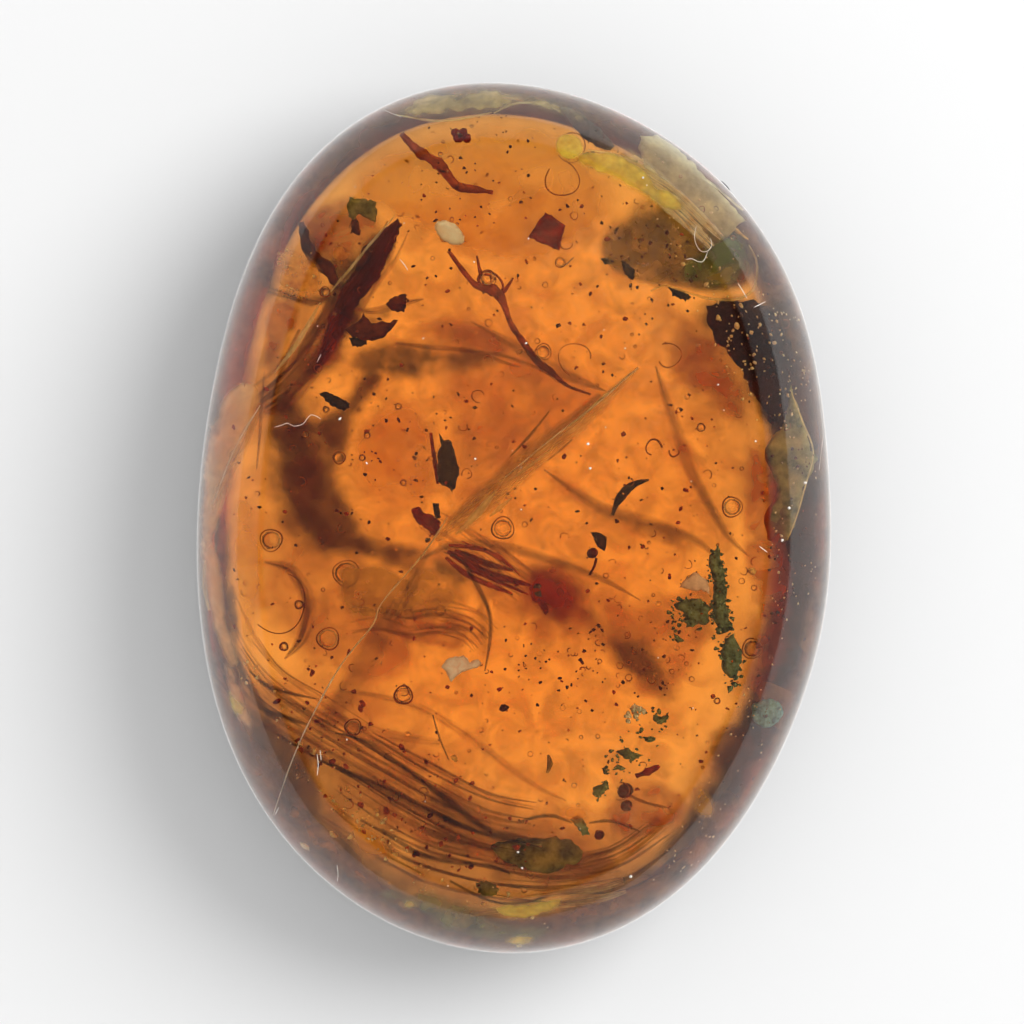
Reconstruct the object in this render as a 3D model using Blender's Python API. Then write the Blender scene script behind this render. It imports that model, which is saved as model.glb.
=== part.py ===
"""Polished amber pebble with plant scraps sealed in it, lying on its flattened underside.

Frame: metres, +Z up, origin on the table under the centre of the pebble's box, +Y along its length.
Sizes below are millimetres. A plan point (x, y) is where a piece is seen from straight above through
the polished top; sealed_point() follows that sight line, bent by the amber, down to the piece's own
height over the flow layer, the waved surface that the pebble is parted along. Dark pieces lie on or
close to that layer. The four pale ones, which show bright in the photo, lie nearer the polished top,
each over a deeper hollow.
"""

import math
import random

import bmesh
import bpy
from mathutils import Vector
from mathutils.geometry import intersect_point_line

MM = 0.001

# Pebble: the widest section seen from above, as a mean radius and a few slow waves
OUTLINE_MEAN = 17.14
OUTLINE_WAVES = (
    # turns in one round, cosine part, sine part
    (1, -0.17, 0.08),
    (2, -2.72, 0.08),
    (3, 0.19, -0.03),
    (4, 0.12, 0.12),
    (5, -0.06, -0.08),
    (6, 0.01, -0.08),
)
GIRDLE_HEIGHT = 6.4
TOP_RISE = 8.0
UNDER_DROP = 6.8
TOP_FULLNESS = (2.5, 2.1)
UNDER_FULLNESS = (2.6, 2.2)
OUTLINE_SEGMENTS = 44
TOP_RINGS = 8
UNDER_RINGS = 6

# Flow layer: the gently waved surface inside the pebble that holds the scraps
FLOW_HEIGHT = 7.2
FLOW_WAVES = (
    # height, turn per mm along x, turn per mm along y, start
    (0.35, 0.16, 0.10, 0.0),
    (0.25, -0.20, 0.13, 1.0),
)
FLOW_CELLS = (9, 12)

REFRACTION = 1.54
GAP = 0.3
BLOCK_REACH = (16.5, 22.0)
BLOCK_TOP = 18.0
BLOCK_BOTTOM = -3.0
RIM_SHARE = 0.985
SLOPE_STEP = 0.05
# Most that a flake's edge bevel may take of its narrowest room
NARROW_SHARE = 0.35


def outline_radius(angle):
    """Radius of the widest section in one direction from the pebble's heart."""
    waves = sum(c * math.cos(n * angle) + s * math.sin(n * angle) for n, c, s in OUTLINE_WAVES)
    return OUTLINE_MEAN + waves


def outline_angles():
    """Directions of the outline's corners."""
    return [math.tau * k / OUTLINE_SEGMENTS for k in range(OUTLINE_SEGMENTS)]


def heart_offset():
    """Where the heart lies from the centre of the outline's box."""
    xs = [outline_radius(a) * math.cos(a) for a in outline_angles()]
    ys = [outline_radius(a) * math.sin(a) for a in outline_angles()]
    return Vector((-(min(xs) + max(xs)) / 2, -(min(ys) + max(ys)) / 2))


HEART = heart_offset()


def top_height(x, y):
    """Height of the polished top over a plan point."""
    dx, dy = x - HEART.x, y - HEART.y
    share = min(math.hypot(dx, dy) / outline_radius(math.atan2(dy, dx)), RIM_SHARE)
    along, up = TOP_FULLNESS
    return GIRDLE_HEIGHT + TOP_RISE * (1 - share ** along) ** (1 / up)


def top_normal(x, y):
    """Outward direction of the polished top over a plan point."""
    slope_x = (top_height(x + SLOPE_STEP, y) - top_height(x - SLOPE_STEP, y)) / (2 * SLOPE_STEP)
    slope_y = (top_height(x, y + SLOPE_STEP) - top_height(x, y - SLOPE_STEP)) / (2 * SLOPE_STEP)
    return Vector((-slope_x, -slope_y, 1.0)).normalized()


def flow_height(x, y):
    """Height of the flow layer over a true point."""
    return FLOW_HEIGHT + sum(h * math.sin(ax * x + ay * y + start) for h, ax, ay, start in FLOW_WAVES)


def sealed_point(x, y, lift=0.0):
    """True place, a lift above the flow layer, of what is seen at a plan point from above."""
    entry = Vector((x, y, top_height(x, y)))
    normal = top_normal(x, y)
    ratio = 1 / REFRACTION
    bend = ratio * normal.z - math.sqrt(1 - ratio ** 2 * (1 - normal.z ** 2))
    sight = Vector((0, 0, -ratio)) + bend * normal
    place = entry
    for _ in range(8):
        depth = entry.z - flow_height(place.x, place.y) - lift
        place = entry + sight * (depth / -sight.z)
    return place


def finish(color, roughness, transmission=0.0):
    """Material for one kind of piece."""
    material = bpy.data.materials.new("finish")
    material.use_nodes = True
    shader = material.node_tree.nodes["Principled BSDF"]
    shader.inputs["Base Color"].default_value = (*color, 1.0)
    shader.inputs["Roughness"].default_value = roughness
    shader.inputs["Metallic"].default_value = 0.0
    shader.inputs["IOR"].default_value = REFRACTION
    shader.inputs["Transmission Weight"].default_value = transmission
    return material


def new_object(name, mesh_data, material=None, smooth_angle=None, home=None):
    """Scene object from a mesh built in millimetres, with its faces pointing out."""
    bmesh.ops.recalc_face_normals(mesh_data, faces=mesh_data.faces)
    bmesh.ops.scale(mesh_data, vec=(MM, MM, MM), verts=mesh_data.verts)
    mesh = bpy.data.meshes.new(name)
    mesh_data.to_mesh(mesh)
    mesh_data.free()
    item = bpy.data.objects.new(name, mesh)
    (home or bpy.context.scene.collection).objects.link(item)
    if material:
        mesh.materials.append(material)
    if smooth_angle is not None:
        mesh.shade_smooth()
        mesh.set_sharp_from_angle(angle=math.radians(smooth_angle))
    return item


def hide_guide(item):
    """A shape that only cuts or joins."""
    item.hide_render = True
    item.display_type = 'WIRE'
    return item


def combine(item, other, operation):
    """Cut, join or trim an object with a guide shape, or with every shape of a collection."""
    step = item.modifiers.new(operation.lower(), 'BOOLEAN')
    if isinstance(other, bpy.types.Collection):
        step.operand_type = 'COLLECTION'
        step.collection = other
        step.use_self = True
    else:
        step.object = other
    step.operation = operation
    step.solver = 'EXACT'


def shell_from_rings(rings):
    """Closed mesh from a stack of rings with flat or pointed ends."""
    data = bmesh.new()
    loops = [[data.verts.new(point) for point in ring] for ring in rings]
    for low, high in zip(loops, loops[1:]):
        count = max(len(low), len(high))
        for k in range(count):
            corners = [low[k % len(low)], low[(k + 1) % len(low)], high[(k + 1) % len(high)], high[k % len(high)]]
            data.faces.new(list(dict.fromkeys(corners)))
    caps = [data.faces.new(loop) for loop in (loops[0], loops[-1]) if len(loop) > 2]
    data.normal_update()
    bmesh.ops.triangulate(data, faces=caps, ngon_method='EAR_CLIP')
    return data


def grown(points, distance):
    """A plan outline moved outward, or inward by a negative distance."""
    area = sum(a[0] * b[1] - b[0] * a[1] for a, b in zip(points, points[1:] + points[:1]))
    side = 1 if area > 0 else -1
    moved = []
    for k, (x, y) in enumerate(points):
        before, after = points[k - 1], points[(k + 1) % len(points)]
        first = Vector((y - before[1], before[0] - x)).normalized()
        second = Vector((after[1] - y, x - after[0])).normalized()
        middle = (first + second).normalized()
        stretch = distance * side / max(middle.dot(first), 0.55)
        moved.append((x + middle.x * stretch, y + middle.y * stretch))
    return moved


def clearance(points, k):
    """Distance from one corner of an outline to the nearest side that doesn't touch it."""
    corner = Vector(points[k])
    gaps = []
    for j in range(len(points)):
        if j in (k, (k - 1) % len(points)):
            continue
        start, end = Vector(points[j]), Vector(points[(j + 1) % len(points)])
        share = intersect_point_line(corner, start, end)[1]
        gaps.append((corner - start.lerp(end, min(max(share, 0.0), 1.0))).length)
    return min(gaps)


def drawn_in(points, distance):
    """A plan outline moved inward, by less where the scrap is narrow."""
    ring = []
    for k, ((x, y), (inner_x, inner_y)) in enumerate(zip(points, grown(points, -1.0))):
        step = min(distance, clearance(points, k) * NARROW_SHARE)
        ring.append((x + (inner_x - x) * step, y + (inner_y - y) * step))
    return ring


def torn(points, amount, seed):
    """An outline with one uneven corner more on each side, as a torn edge has."""
    if not amount:
        return points
    chance = random.Random(seed)
    corners = []
    for (ax, ay), (bx, by) in zip(points, points[1:] + points[:1]):
        share = chance.uniform(0.35, 0.65)
        length = math.hypot(bx - ax, by - ay) or 1.0
        push = chance.uniform(-amount, amount)
        middle = (ax + (bx - ax) * share - (by - ay) / length * push,
                  ay + (by - ay) * share + (bx - ax) / length * push)
        corners += [(ax, ay), middle]
    return corners


def layer_ring(points, height):
    """A true outline lifted to a height over the flow layer."""
    return [Vector((x, y, flow_height(x, y) + height)) for x, y in points]


def convex(points):
    """The corners of an outline that a taut band around it would touch."""
    ordered = sorted(points)
    halves = []
    for run in (ordered, ordered[::-1]):
        chain = []
        for x, y in run:
            while len(chain) > 1:
                (ax, ay), (bx, by) = chain[-2:]
                if (bx - ax) * (y - ay) - (by - ay) * (x - ax) > 0:
                    break
                chain.pop()
            chain.append((x, y))
        halves += chain[:-1]
    return halves


def pocket_home():
    """Collection that holds the hollows around the sealed pieces."""
    name = "pockets"
    if name not in bpy.data.collections:
        bpy.context.scene.collection.children.link(bpy.data.collections.new(name))
    return bpy.data.collections[name]


def add_pocket(name, outline, low, high):
    """Hollow around one sealed piece, opening where the two halves part."""
    low, high = min(low, -GAP) - GAP / 3, max(high, GAP) + GAP / 3
    rings = [layer_ring(outline, low), layer_ring(outline, high)]
    hide_guide(new_object(name + "_pocket", shell_from_rings(rings), home=pocket_home()))


def add_flake(name, plan, thick, material, lift=0.0, edge=0.12, rough_edge=0.0, seed=0, bent=False):
    """Thin scrap along the flow layer, thinning to its edge; a bent one has a hollow that bends with it."""
    true_plan = [tuple(sealed_point(x, y, lift).xy) for x, y in plan]
    outline = torn(true_plan, rough_edge, seed)
    inner = drawn_in(outline, edge)
    rings = [
        layer_ring(inner, lift - thick / 2),
        layer_ring(outline, lift),
        layer_ring(inner, lift + thick / 2),
    ]
    data = shell_from_rings(rings)
    data.normal_update()
    bmesh.ops.triangulate(data, faces=data.faces)
    new_object(name, data, material)
    room = grown(true_plan if bent else convex(true_plan), GAP + rough_edge)
    add_pocket(name, room, lift - thick / 2 - GAP, lift + thick / 2 + GAP)


def path_frame(points, k):
    """Side and upward directions across a path at one of its points."""
    run = (points[min(k + 1, len(points) - 1)] - points[max(k - 1, 0)]).normalized()
    side = run.cross(Vector((0, 0, 1))).normalized()
    return run, side, side.cross(run)


def stem_mesh(points, radii, sides=5):
    """Tapering stem along a path, closed to a blunt point at each end."""
    rings = []
    for k, (point, radius) in enumerate(zip(points, radii)):
        _, side, up = path_frame(points, k)
        turns = [math.tau * (j + 0.5 * (k % 2)) / sides for j in range(sides)]
        rings.append([point + (side * math.cos(t) + up * math.sin(t)) * radius for t in turns])
    first, last = path_frame(points, 0)[0], path_frame(points, len(points) - 1)[0]
    tips = ([points[0] - first * radii[0] * 0.7], [points[-1] + last * radii[-1] * 0.7])
    return shell_from_rings([tips[0], *rings, tips[1]])


def add_stem(name, plan, radii, material, lift=0.0, shoots=()):
    """Twig, needle or fibre along the flow layer, with any side shoots fused to it."""
    points = [sealed_point(x, y, lift) for x, y in plan]
    stem = new_object(name, stem_mesh(points, radii), material, smooth_angle=50)
    for number, (shoot_plan, shoot_radii) in enumerate(shoots):
        shoot_points = [sealed_point(x, y, lift) for x, y in shoot_plan]
        shoot = new_object(f"{name}_shoot_{number}", stem_mesh(shoot_points, shoot_radii), material)
        combine(stem, hide_guide(shoot), 'UNION')
        add_stem_pocket(f"{name}_shoot_{number}", shoot_points, shoot_radii, lift)
    add_stem_pocket(name, points, radii, lift)


def add_stem_pocket(name, points, radii, lift):
    """Hollow around a stem: a band that follows its path."""
    left, right = [], []
    for k, (point, radius) in enumerate(zip(points, radii)):
        run, side, _ = path_frame(points, k)
        ends = {0: -1, len(points) - 1: 1}
        centre = point + run * (ends.get(k, 0) * (radius + GAP))
        left.append(tuple((centre - side * (radius + GAP)).xy))
        right.append(tuple((centre + side * (radius + GAP)).xy))
    reach = max(radii) + GAP
    add_pocket(name, left + right[::-1], lift - reach, lift + reach)


def lump_mesh(centre, size, seed, detail):
    """Uneven rounded grain."""
    data = bmesh.new()
    bmesh.ops.create_icosphere(data, subdivisions=detail, radius=1.0)
    chance = random.Random(seed)
    for corner in data.verts:
        swell = chance.uniform(0.82, 1.08)
        corner.co = centre + Vector([corner.co[i] * size[i] * swell for i in range(3)])
    return data


def add_lump(name, place, size, material, seed, lift=0.0, detail=1, others=()):
    """Seed, crumb or grain, with any further grains grown onto it."""
    lump = None
    for number, (grain_place, grain_size) in enumerate([(place, size), *others]):
        centre = sealed_point(*grain_place, lift)
        data = lump_mesh(centre, grain_size, seed + number, detail)
        if lump is None:
            lump = new_object(name, data, material, smooth_angle=60)
        else:
            combine(lump, hide_guide(new_object(f"{name}_grain_{number}", data, material)), 'UNION')
        turns = [math.tau * k / 8 for k in range(8)]
        reach = [grain_size[i] * 1.15 + GAP for i in range(3)]
        room = [(centre.x + reach[0] * math.cos(t), centre.y + reach[1] * math.sin(t)) for t in turns]
        add_pocket(f"{name}_{number}", room, lift - reach[2], lift + reach[2])


def add_twigs():
    """The two red-brown twigs in the upper half, and the needle and thorn in the middle."""
    red_bark = finish((0.16, 0.035, 0.015), 0.55)
    main = [(-3.0, 12.2), (-2.4, 11.4), (-1.75, 10.65), (-1.15, 10.6), (-0.65, 10.1), (-0.15, 8.85),
            (0.4, 8.05), (1.05, 7.15), (1.6, 6.7), (2.55, 6.0), (3.5, 5.65)]
    main_radii = [0.1, 0.14, 0.18, 0.32, 0.22, 0.16, 0.16, 0.2, 0.17, 0.1, 0.08]
    bud = ([(-1.3, 10.5), (-1.55, 11.3), (-1.7, 11.95)], [0.14, 0.11, 0.07])
    fork = ([(-0.7, 10.1), (-0.25, 10.6), (-0.05, 10.9)], [0.14, 0.12, 0.08])
    add_stem("twig_long", main, main_radii, red_bark, shoots=(bud, fork))
    short = [(-5.15, 17.55), (-4.25, 16.7), (-3.35, 16.1), (-2.5, 15.15), (-1.7, 15.0), (-0.95, 14.85)]
    add_stem("twig_short", short, [0.12, 0.2, 0.24, 0.2, 0.15, 0.08], finish((0.13, 0.05, 0.02), 0.6))
    add_stem("bark_needle", [(-3.8, 3.9), (-3.65, 2.9), (-3.5, 1.65)], [0.06, 0.09, 0.08],
             finish((0.2, 0.03, 0.01), 0.5), lift=-0.75)
    thorn = [(4.5, 0.2), (4.65, 0.65), (5.15, 1.35), (5.6, 1.6), (6.1, 1.75)]
    add_stem("thorn", thorn, [0.08, 0.12, 0.2, 0.16, 0.06], finish((0.1, 0.02, 0.012), 0.4))


def add_charcoal():
    """Black splinters, chips and crumbs."""
    char = finish((0.018, 0.02, 0.018), 0.45)
    large = [(-3.45, 3.9), (-3.25, 3.6), (-2.85, 3.45), (-2.6, 2.75), (-2.5, 2.05), (-2.65, 1.55),
             (-2.85, 1.15), (-3.0, 1.45), (-3.45, 1.6), (-3.55, 2.4), (-3.5, 3.3)]
    add_flake("charcoal_splinter_large", large, 0.5, char, edge=0.16, rough_edge=0.03, seed=3)
    small = [(-8.9, 5.75), (-8.45, 5.75), (-7.65, 5.3), (-7.45, 5.05), (-7.75, 4.9), (-8.15, 5.0), (-8.65, 5.3)]
    add_flake("charcoal_splinter_small", small, 0.35, char, edge=0.12, rough_edge=0.03, seed=4)
    glossy = [(0.7, -3.2), (0.85, -3.0), (1.35, -3.0), (1.4, -3.65), (1.6, -4.3), (1.4, -4.4), (1.15, -3.95),
              (0.8, -3.75)]
    add_flake("charcoal_chip_glossy", glossy, 0.35, finish((0.012, 0.014, 0.02), 0.12), edge=0.1)
    add_flake("charcoal_chip_small", [(-3.7, 0.75), (-3.4, 0.75), (-3.3, 0.05), (-3.6, 0.0)], 0.25, char,
              lift=0.45, edge=0.08)
    add_flake("charcoal_crumb_upper", [(4.85, 11.75), (5.2, 11.65), (5.55, 11.3), (5.45, 10.85), (5.2, 11.0),
                                       (4.95, 11.4)], 0.3, char, edge=0.1)
    add_flake("charcoal_crumb_left", [(3.95, 11.85), (4.5, 11.9), (4.65, 11.65), (4.25, 11.5)], 0.25, char,
              edge=0.08)
    add_flake("charcoal_crumb_right", [(7.05, 10.6), (7.6, 10.4), (8.1, 10.1), (7.8, 9.9), (7.25, 10.1)], 0.3,
              char, edge=0.1, rough_edge=0.05, seed=8)


def add_bark():
    """Red, rust, dark, slate and straw-coloured bark scraps."""
    red = finish((0.17, 0.02, 0.012), 0.45)
    dark = finish((0.045, 0.02, 0.012), 0.55)
    add_lump("bark_crumb_top", (-2.45, 17.45), (0.4, 0.27, 0.2), red, seed=11)
    add_flake("bark_flake_red", [(1.4, 13.95), (2.35, 13.35), (2.05, 12.15), (0.65, 12.9)], 0.2, red, edge=0.08,
              rough_edge=0.04, seed=5)
    add_flake("bark_wedge", [(3.5, -0.65), (3.85, -0.65), (4.2, -0.85), (4.1, -1.5), (3.8, -1.2)], 0.25, dark,
              edge=0.1)
    rust = [(-4.65, 0.45), (-4.35, 0.5), (-3.85, 0.2), (-3.35, -0.15), (-3.4, -0.75), (-3.75, -0.8),
            (-4.3, -0.25), (-4.65, 0.1)]
    add_flake("bark_wedge_rust", rust, 0.3, red, lift=-0.25, edge=0.12, rough_edge=0.04, seed=6)
    add_stem("bark_streak_red", [(5.6, -11.75), (6.1, -11.55), (6.65, -11.3)], [0.12, 0.17, 0.11], red)
    sheet = [(8.75, 9.65), (9.8, 10.0), (10.9, 9.9), (12.0, 9.35), (12.6, 7.8), (12.45, 5.8), (11.8, 4.05),
             (11.15, 5.25), (10.2, 6.95), (9.05, 8.3)]
    add_flake("bark_sheet_dark", sheet, 0.45, dark, lift=-0.3, edge=0.2, rough_edge=0.2, seed=9)
    slate = [(2.1, 18.8), (2.8, 18.6), (3.95, 17.8), (4.65, 16.95), (4.2, 16.75), (3.4, 17.2), (2.55, 17.9)]
    add_flake("bark_scrap_slate", slate, 0.25, finish((0.05, 0.05, 0.045), 0.5), edge=0.1)
    straw = [(5.7, 16.95), (6.4, 16.6), (7.35, 15.75), (8.2, 15.0), (8.9, 14.2), (9.65, 13.4), (9.9, 13.1),
             (9.7, 12.9), (9.35, 12.45), (9.15, 12.8), (8.75, 13.3), (8.0, 14.0), (7.2, 14.65), (6.4, 15.4),
             (5.75, 16.0), (5.5, 16.5)]
    add_flake("bark_sheet_straw", straw, 0.3, finish((0.45, 0.36, 0.12), 0.5), lift=0.35, edge=0.12,
              rough_edge=0.08, seed=10, bent=True)
    add_stem("bark_sliver_gold", [(9.75, 13.4), (10.2, 13.05), (10.7, 12.75)], [0.14, 0.12, 0.06],
             finish((0.75, 0.45, 0.05), 0.3), lift=-0.55)


def add_fibres():
    """Bundle of red wood fibres that spreads down to the right from the middle."""
    wood = finish((0.24, 0.045, 0.015), 0.5)
    add_stem("wood_fibre_top", [(-2.85, -1.2), (-1.9, -1.25), (-1.1, -1.5), (-0.1, -2.2)],
             [0.08, 0.12, 0.12, 0.06], wood, lift=0.5)
    add_stem("wood_fibre_upper", [(-2.2, -1.65), (-1.25, -2.05), (-0.15, -2.35)], [0.1, 0.18, 0.1], wood)
    add_stem("wood_fibre_middle", [(-2.9, -1.6), (-2.0, -2.05), (-1.1, -2.55), (-0.05, -2.85), (1.05, -3.1)],
             [0.12, 0.22, 0.22, 0.16, 0.06], wood, lift=-0.7)
    add_stem("wood_fibre_lower", [(-3.1, -1.9), (-2.45, -2.4), (-1.8, -2.75), (-0.2, -3.4)],
             [0.1, 0.16, 0.17, 0.08], wood, lift=0.3)


def add_leaf_scraps():
    """Torn leaf remains: brown at the upper left, green at the right rim and at the bottom."""
    brown = finish((0.07, 0.022, 0.01), 0.6)
    black = finish((0.02, 0.018, 0.014), 0.5)
    olive = finish((0.07, 0.06, 0.015), 0.6)
    green = finish((0.14, 0.16, 0.07), 0.6)
    long_scrap = [(-5.25, 13.7), (-5.25, 13.2), (-5.75, 11.95), (-6.25, 10.85), (-6.85, 10.15), (-7.4, 9.45),
                  (-7.85, 8.4), (-8.45, 7.45), (-9.3, 6.4), (-9.0, 7.35), (-8.6, 8.4), (-8.4, 9.35),
                  (-7.9, 10.35), (-7.4, 11.1), (-7.05, 12.0), (-6.6, 12.6), (-5.9, 13.15)]
    add_flake("leaf_scrap_long", long_scrap, 0.3, brown, lift=-0.55, edge=0.09, rough_edge=0.05, seed=21,
              bent=True)
    side_scrap = [(-9.85, 13.45), (-9.55, 13.55), (-9.25, 12.6), (-8.8, 11.9), (-8.4, 11.75), (-8.1, 11.3),
                  (-7.9, 10.65), (-8.15, 10.45), (-8.5, 11.0), (-9.2, 11.45), (-9.65, 12.3)]
    add_flake("leaf_scrap_side", side_scrap, 0.25, brown, lift=0.3, edge=0.08, rough_edge=0.04, seed=22)
    torn_scrap = [(-7.75, 8.6), (-7.35, 8.3), (-6.7, 8.15), (-6.3, 8.1), (-5.75, 8.45), (-5.35, 9.05),
                  (-6.0, 8.95), (-6.5, 8.85), (-6.8, 9.3), (-7.1, 9.05)]
    add_flake("leaf_scrap_torn", torn_scrap, 0.25, brown, lift=0.4, edge=0.08, rough_edge=0.04, seed=23)
    add_flake("leaf_scrap_base", [(-7.55, 7.95), (-7.05, 7.95), (-6.7, 7.95), (-6.8, 7.55), (-7.45, 7.65)], 0.3,
              black, lift=0.0, edge=0.08)
    add_flake("leaf_flake_brown", [(-5.8, 9.75), (-5.5, 10.1), (-4.9, 10.2), (-5.0, 9.45), (-5.35, 9.4)], 0.2,
              finish((0.18, 0.07, 0.02), 0.6), edge=0.08)
    patch = [(-7.5, 14.65), (-7.15, 14.55), (-6.3, 14.45), (-6.3, 13.5), (-6.8, 13.65), (-7.1, 13.95),
             (-7.4, 13.85), (-7.55, 14.2)]
    add_flake("leaf_patch_olive", patch, 0.2, olive, lift=0.2, edge=0.08, rough_edge=0.05, seed=24)
    add_flake("leaf_wedge_dark", [(-7.45, 13.45), (-7.1, 13.35), (-7.05, 12.9), (-7.4, 13.0)], 0.2,
              finish((0.12, 0.03, 0.012), 0.6), lift=0.15, edge=0.06)
    right_scrap = [(12.6, 6.15), (13.15, 4.45), (13.55, 3.1), (13.9, 2.6), (13.25, 1.5), (12.85, 0.15),
                   (12.65, -0.85), (12.25, -1.2), (11.6, -1.0), (11.35, 0.15), (11.95, 0.8), (11.9, 1.55),
                   (11.45, 2.6), (11.4, 3.2), (11.7, 3.65), (12.25, 4.15), (12.5, 5.15)]
    add_flake("leaf_scrap_green", right_scrap, 0.25, green, lift=0.45, edge=0.08, rough_edge=0.04, seed=25,
              bent=True)
    bottom = [(-1.05, -14.95), (-0.2, -14.65), (1.2, -14.55), (2.55, -14.75), (3.2, -15.2), (2.8, -15.75),
              (1.55, -16.15), (0.25, -15.9), (-0.65, -15.55)]
    add_flake("leaf_scrap_bottom", bottom, 0.25, olive, edge=0.1, rough_edge=0.08, seed=26)
    add_flake("leaf_crumb_bottom", [(-1.75, -16.65), (-1.2, -16.55), (-0.7, -16.95), (-1.0, -17.3),
                                    (-1.55, -17.15)], 0.2, olive, edge=0.06)
    add_flake("leaf_patch_grey", [(10.9, -8.45), (11.65, -8.25), (12.25, -8.6), (12.1, -9.35), (11.35, -9.55),
                                  (10.8, -9.05)], 0.2, green, edge=0.08)
    add_stem("leaf_sliver_green", [(1.5, -10.85), (1.55, -11.3), (1.45, -11.7)], [0.06, 0.12, 0.07], green)


def add_moss():
    """Grey-green moss at the right, and its crumbs down to the bottom right."""
    moss = finish((0.075, 0.085, 0.06), 0.85)
    upper = [(9.3, -1.2), (9.45, -1.75), (9.6, -2.35), (9.7, -3.2), (9.7, -4.15), (9.9, -4.85), (9.45, -4.95),
             (9.1, -4.6), (9.05, -3.9), (9.1, -2.9), (8.85, -2.2), (8.95, -1.65)]
    add_flake("moss_strand_upper", upper, 0.45, moss, edge=0.12, rough_edge=0.05, seed=31, bent=True)
    lower = [(10.0, -5.45), (10.2, -5.75), (10.4, -6.2), (10.25, -6.65), (10.1, -7.4), (9.8, -7.2), (9.5, -7.1),
             (9.45, -6.1), (9.6, -5.5)]
    add_flake("moss_strand_lower", lower, 0.45, moss, edge=0.12, rough_edge=0.05, seed=32)
    add_flake("moss_tail", [(9.7, -7.85), (10.05, -7.8), (9.85, -8.15)], 0.2, moss, edge=0.05)
    patch = [(7.3, -3.95), (7.95, -3.7), (8.35, -3.75), (8.6, -4.05), (8.6, -4.8), (7.85, -4.95), (7.8, -4.3)]
    add_flake("moss_patch", patch, 0.35, moss, lift=-0.1, edge=0.1, rough_edge=0.06, seed=33)
    add_flake("moss_crumb_patch", [(7.3, -5.3), (7.75, -5.35), (7.75, -5.65), (7.4, -5.65)], 0.2, moss, edge=0.05)
    crumbs = [
        [(6.35, -8.95), (6.6, -9.05), (7.05, -8.85), (6.9, -9.3), (6.6, -9.4)],
        [(5.9, -10.0), (6.25, -9.95), (6.45, -10.0), (6.35, -10.2), (6.05, -10.15)],
        [(4.65, -10.65), (5.15, -10.5), (5.9, -10.8), (5.45, -11.0), (5.05, -10.95)],
        [(4.5, -11.5), (4.7, -11.2), (5.1, -11.4), (4.75, -11.5)],
        [(3.6, -12.5), (3.65, -12.35), (4.2, -11.95), (4.3, -12.3), (3.85, -12.75)],
        [(2.65, -13.75), (3.05, -13.65), (3.4, -14.15), (3.4, -14.4), (3.1, -14.45)],
    ]
    for number, crumb in enumerate(crumbs, start=1):
        add_flake(f"moss_crumb_{number}", crumb, 0.25, moss, edge=0.05, rough_edge=0.03, seed=33 + number)


def add_pale_pieces():
    """Cream, peach, shell-white and clear grains."""
    cream = finish((0.75, 0.55, 0.35), 0.6)
    add_lump("pith_flake_cream", (-2.95, 12.95), (0.62, 0.42, 0.12), cream, seed=41, lift=4.4, detail=2)
    add_flake("pith_flake_peach", [(7.5, -3.1), (8.25, -2.45), (8.45, -2.9), (8.45, -3.2), (8.3, -3.3)], 0.2,
              finish((0.72, 0.42, 0.25), 0.6), lift=3.9, edge=0.07)
    chip = [(-3.3, -6.75), (-3.0, -6.35), (-2.3, -6.2), (-2.0, -6.55), (-1.65, -6.4), (-1.5, -6.6), (-1.7, -6.75),
            (-2.05, -6.85), (-2.45, -7.05), (-2.85, -7.4), (-3.0, -7.15)]
    add_flake("shell_chip_pale", chip, 0.25, finish((0.78, 0.55, 0.42), 0.5), lift=5.2, edge=0.08)
    add_lump("mineral_grains", (5.7, -8.75), (0.27, 0.2, 0.2), finish((0.6, 0.55, 0.42), 0.25), seed=44,
             lift=4.0, others=(((5.84, -8.9), (0.22, 0.22, 0.17)), ((5.56, -8.95), (0.27, 0.22, 0.18))))


def add_seeds():
    """Round dark seeds, one with its stalk."""
    seed_coat = finish((0.12, 0.02, 0.012), 0.35)
    add_lump("seed_stalked", (3.55, -1.6), (0.24, 0.24, 0.22), seed_coat, seed=51, detail=2)
    add_stem("seed_stalk", [(3.65, -2.3), (3.6, -2.4), (3.4, -2.65)], [0.05, 0.06, 0.05], seed_coat)
    add_lump("seed_left", (5.05, -12.35), (0.34, 0.34, 0.28), seed_coat, seed=52)
    add_lump("seed_right", (5.3, -13.35), (0.26, 0.28, 0.22), seed_coat, seed=53)
    add_lump("seed_bottom", (3.95, -14.9), (0.2, 0.2, 0.18), seed_coat, seed=54)


def pebble_mesh():
    """The whole pebble: domed top, rounded sides and a flat polished on the underside."""
    rings = [[Vector((HEART.x, HEART.y, GIRDLE_HEIGHT + TOP_RISE))]]
    along, up = TOP_FULLNESS
    for k in range(1, TOP_RINGS + 1):
        turn = math.pi / 2 * k / TOP_RINGS
        share, rise = math.sin(turn) ** (2 / along), max(math.cos(turn), 0.0) ** (2 / up)
        rings.append(pebble_ring(share, GIRDLE_HEIGHT + TOP_RISE * rise))
    along, up = UNDER_FULLNESS
    last_turn = math.asin((GIRDLE_HEIGHT / UNDER_DROP) ** (up / 2))
    for k in range(1, UNDER_RINGS + 1):
        turn = last_turn * k / UNDER_RINGS
        share, drop = math.cos(turn) ** (2 / along), math.sin(turn) ** (2 / up)
        rings.append(pebble_ring(share, GIRDLE_HEIGHT - UNDER_DROP * drop))
    return shell_from_rings(rings)


def pebble_ring(share, height):
    """One level section of the pebble."""
    radii = [(a, outline_radius(a) * share) for a in outline_angles()]
    return [Vector((HEART.x + r * math.cos(a), HEART.y + r * math.sin(a), height)) for a, r in radii]


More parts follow.
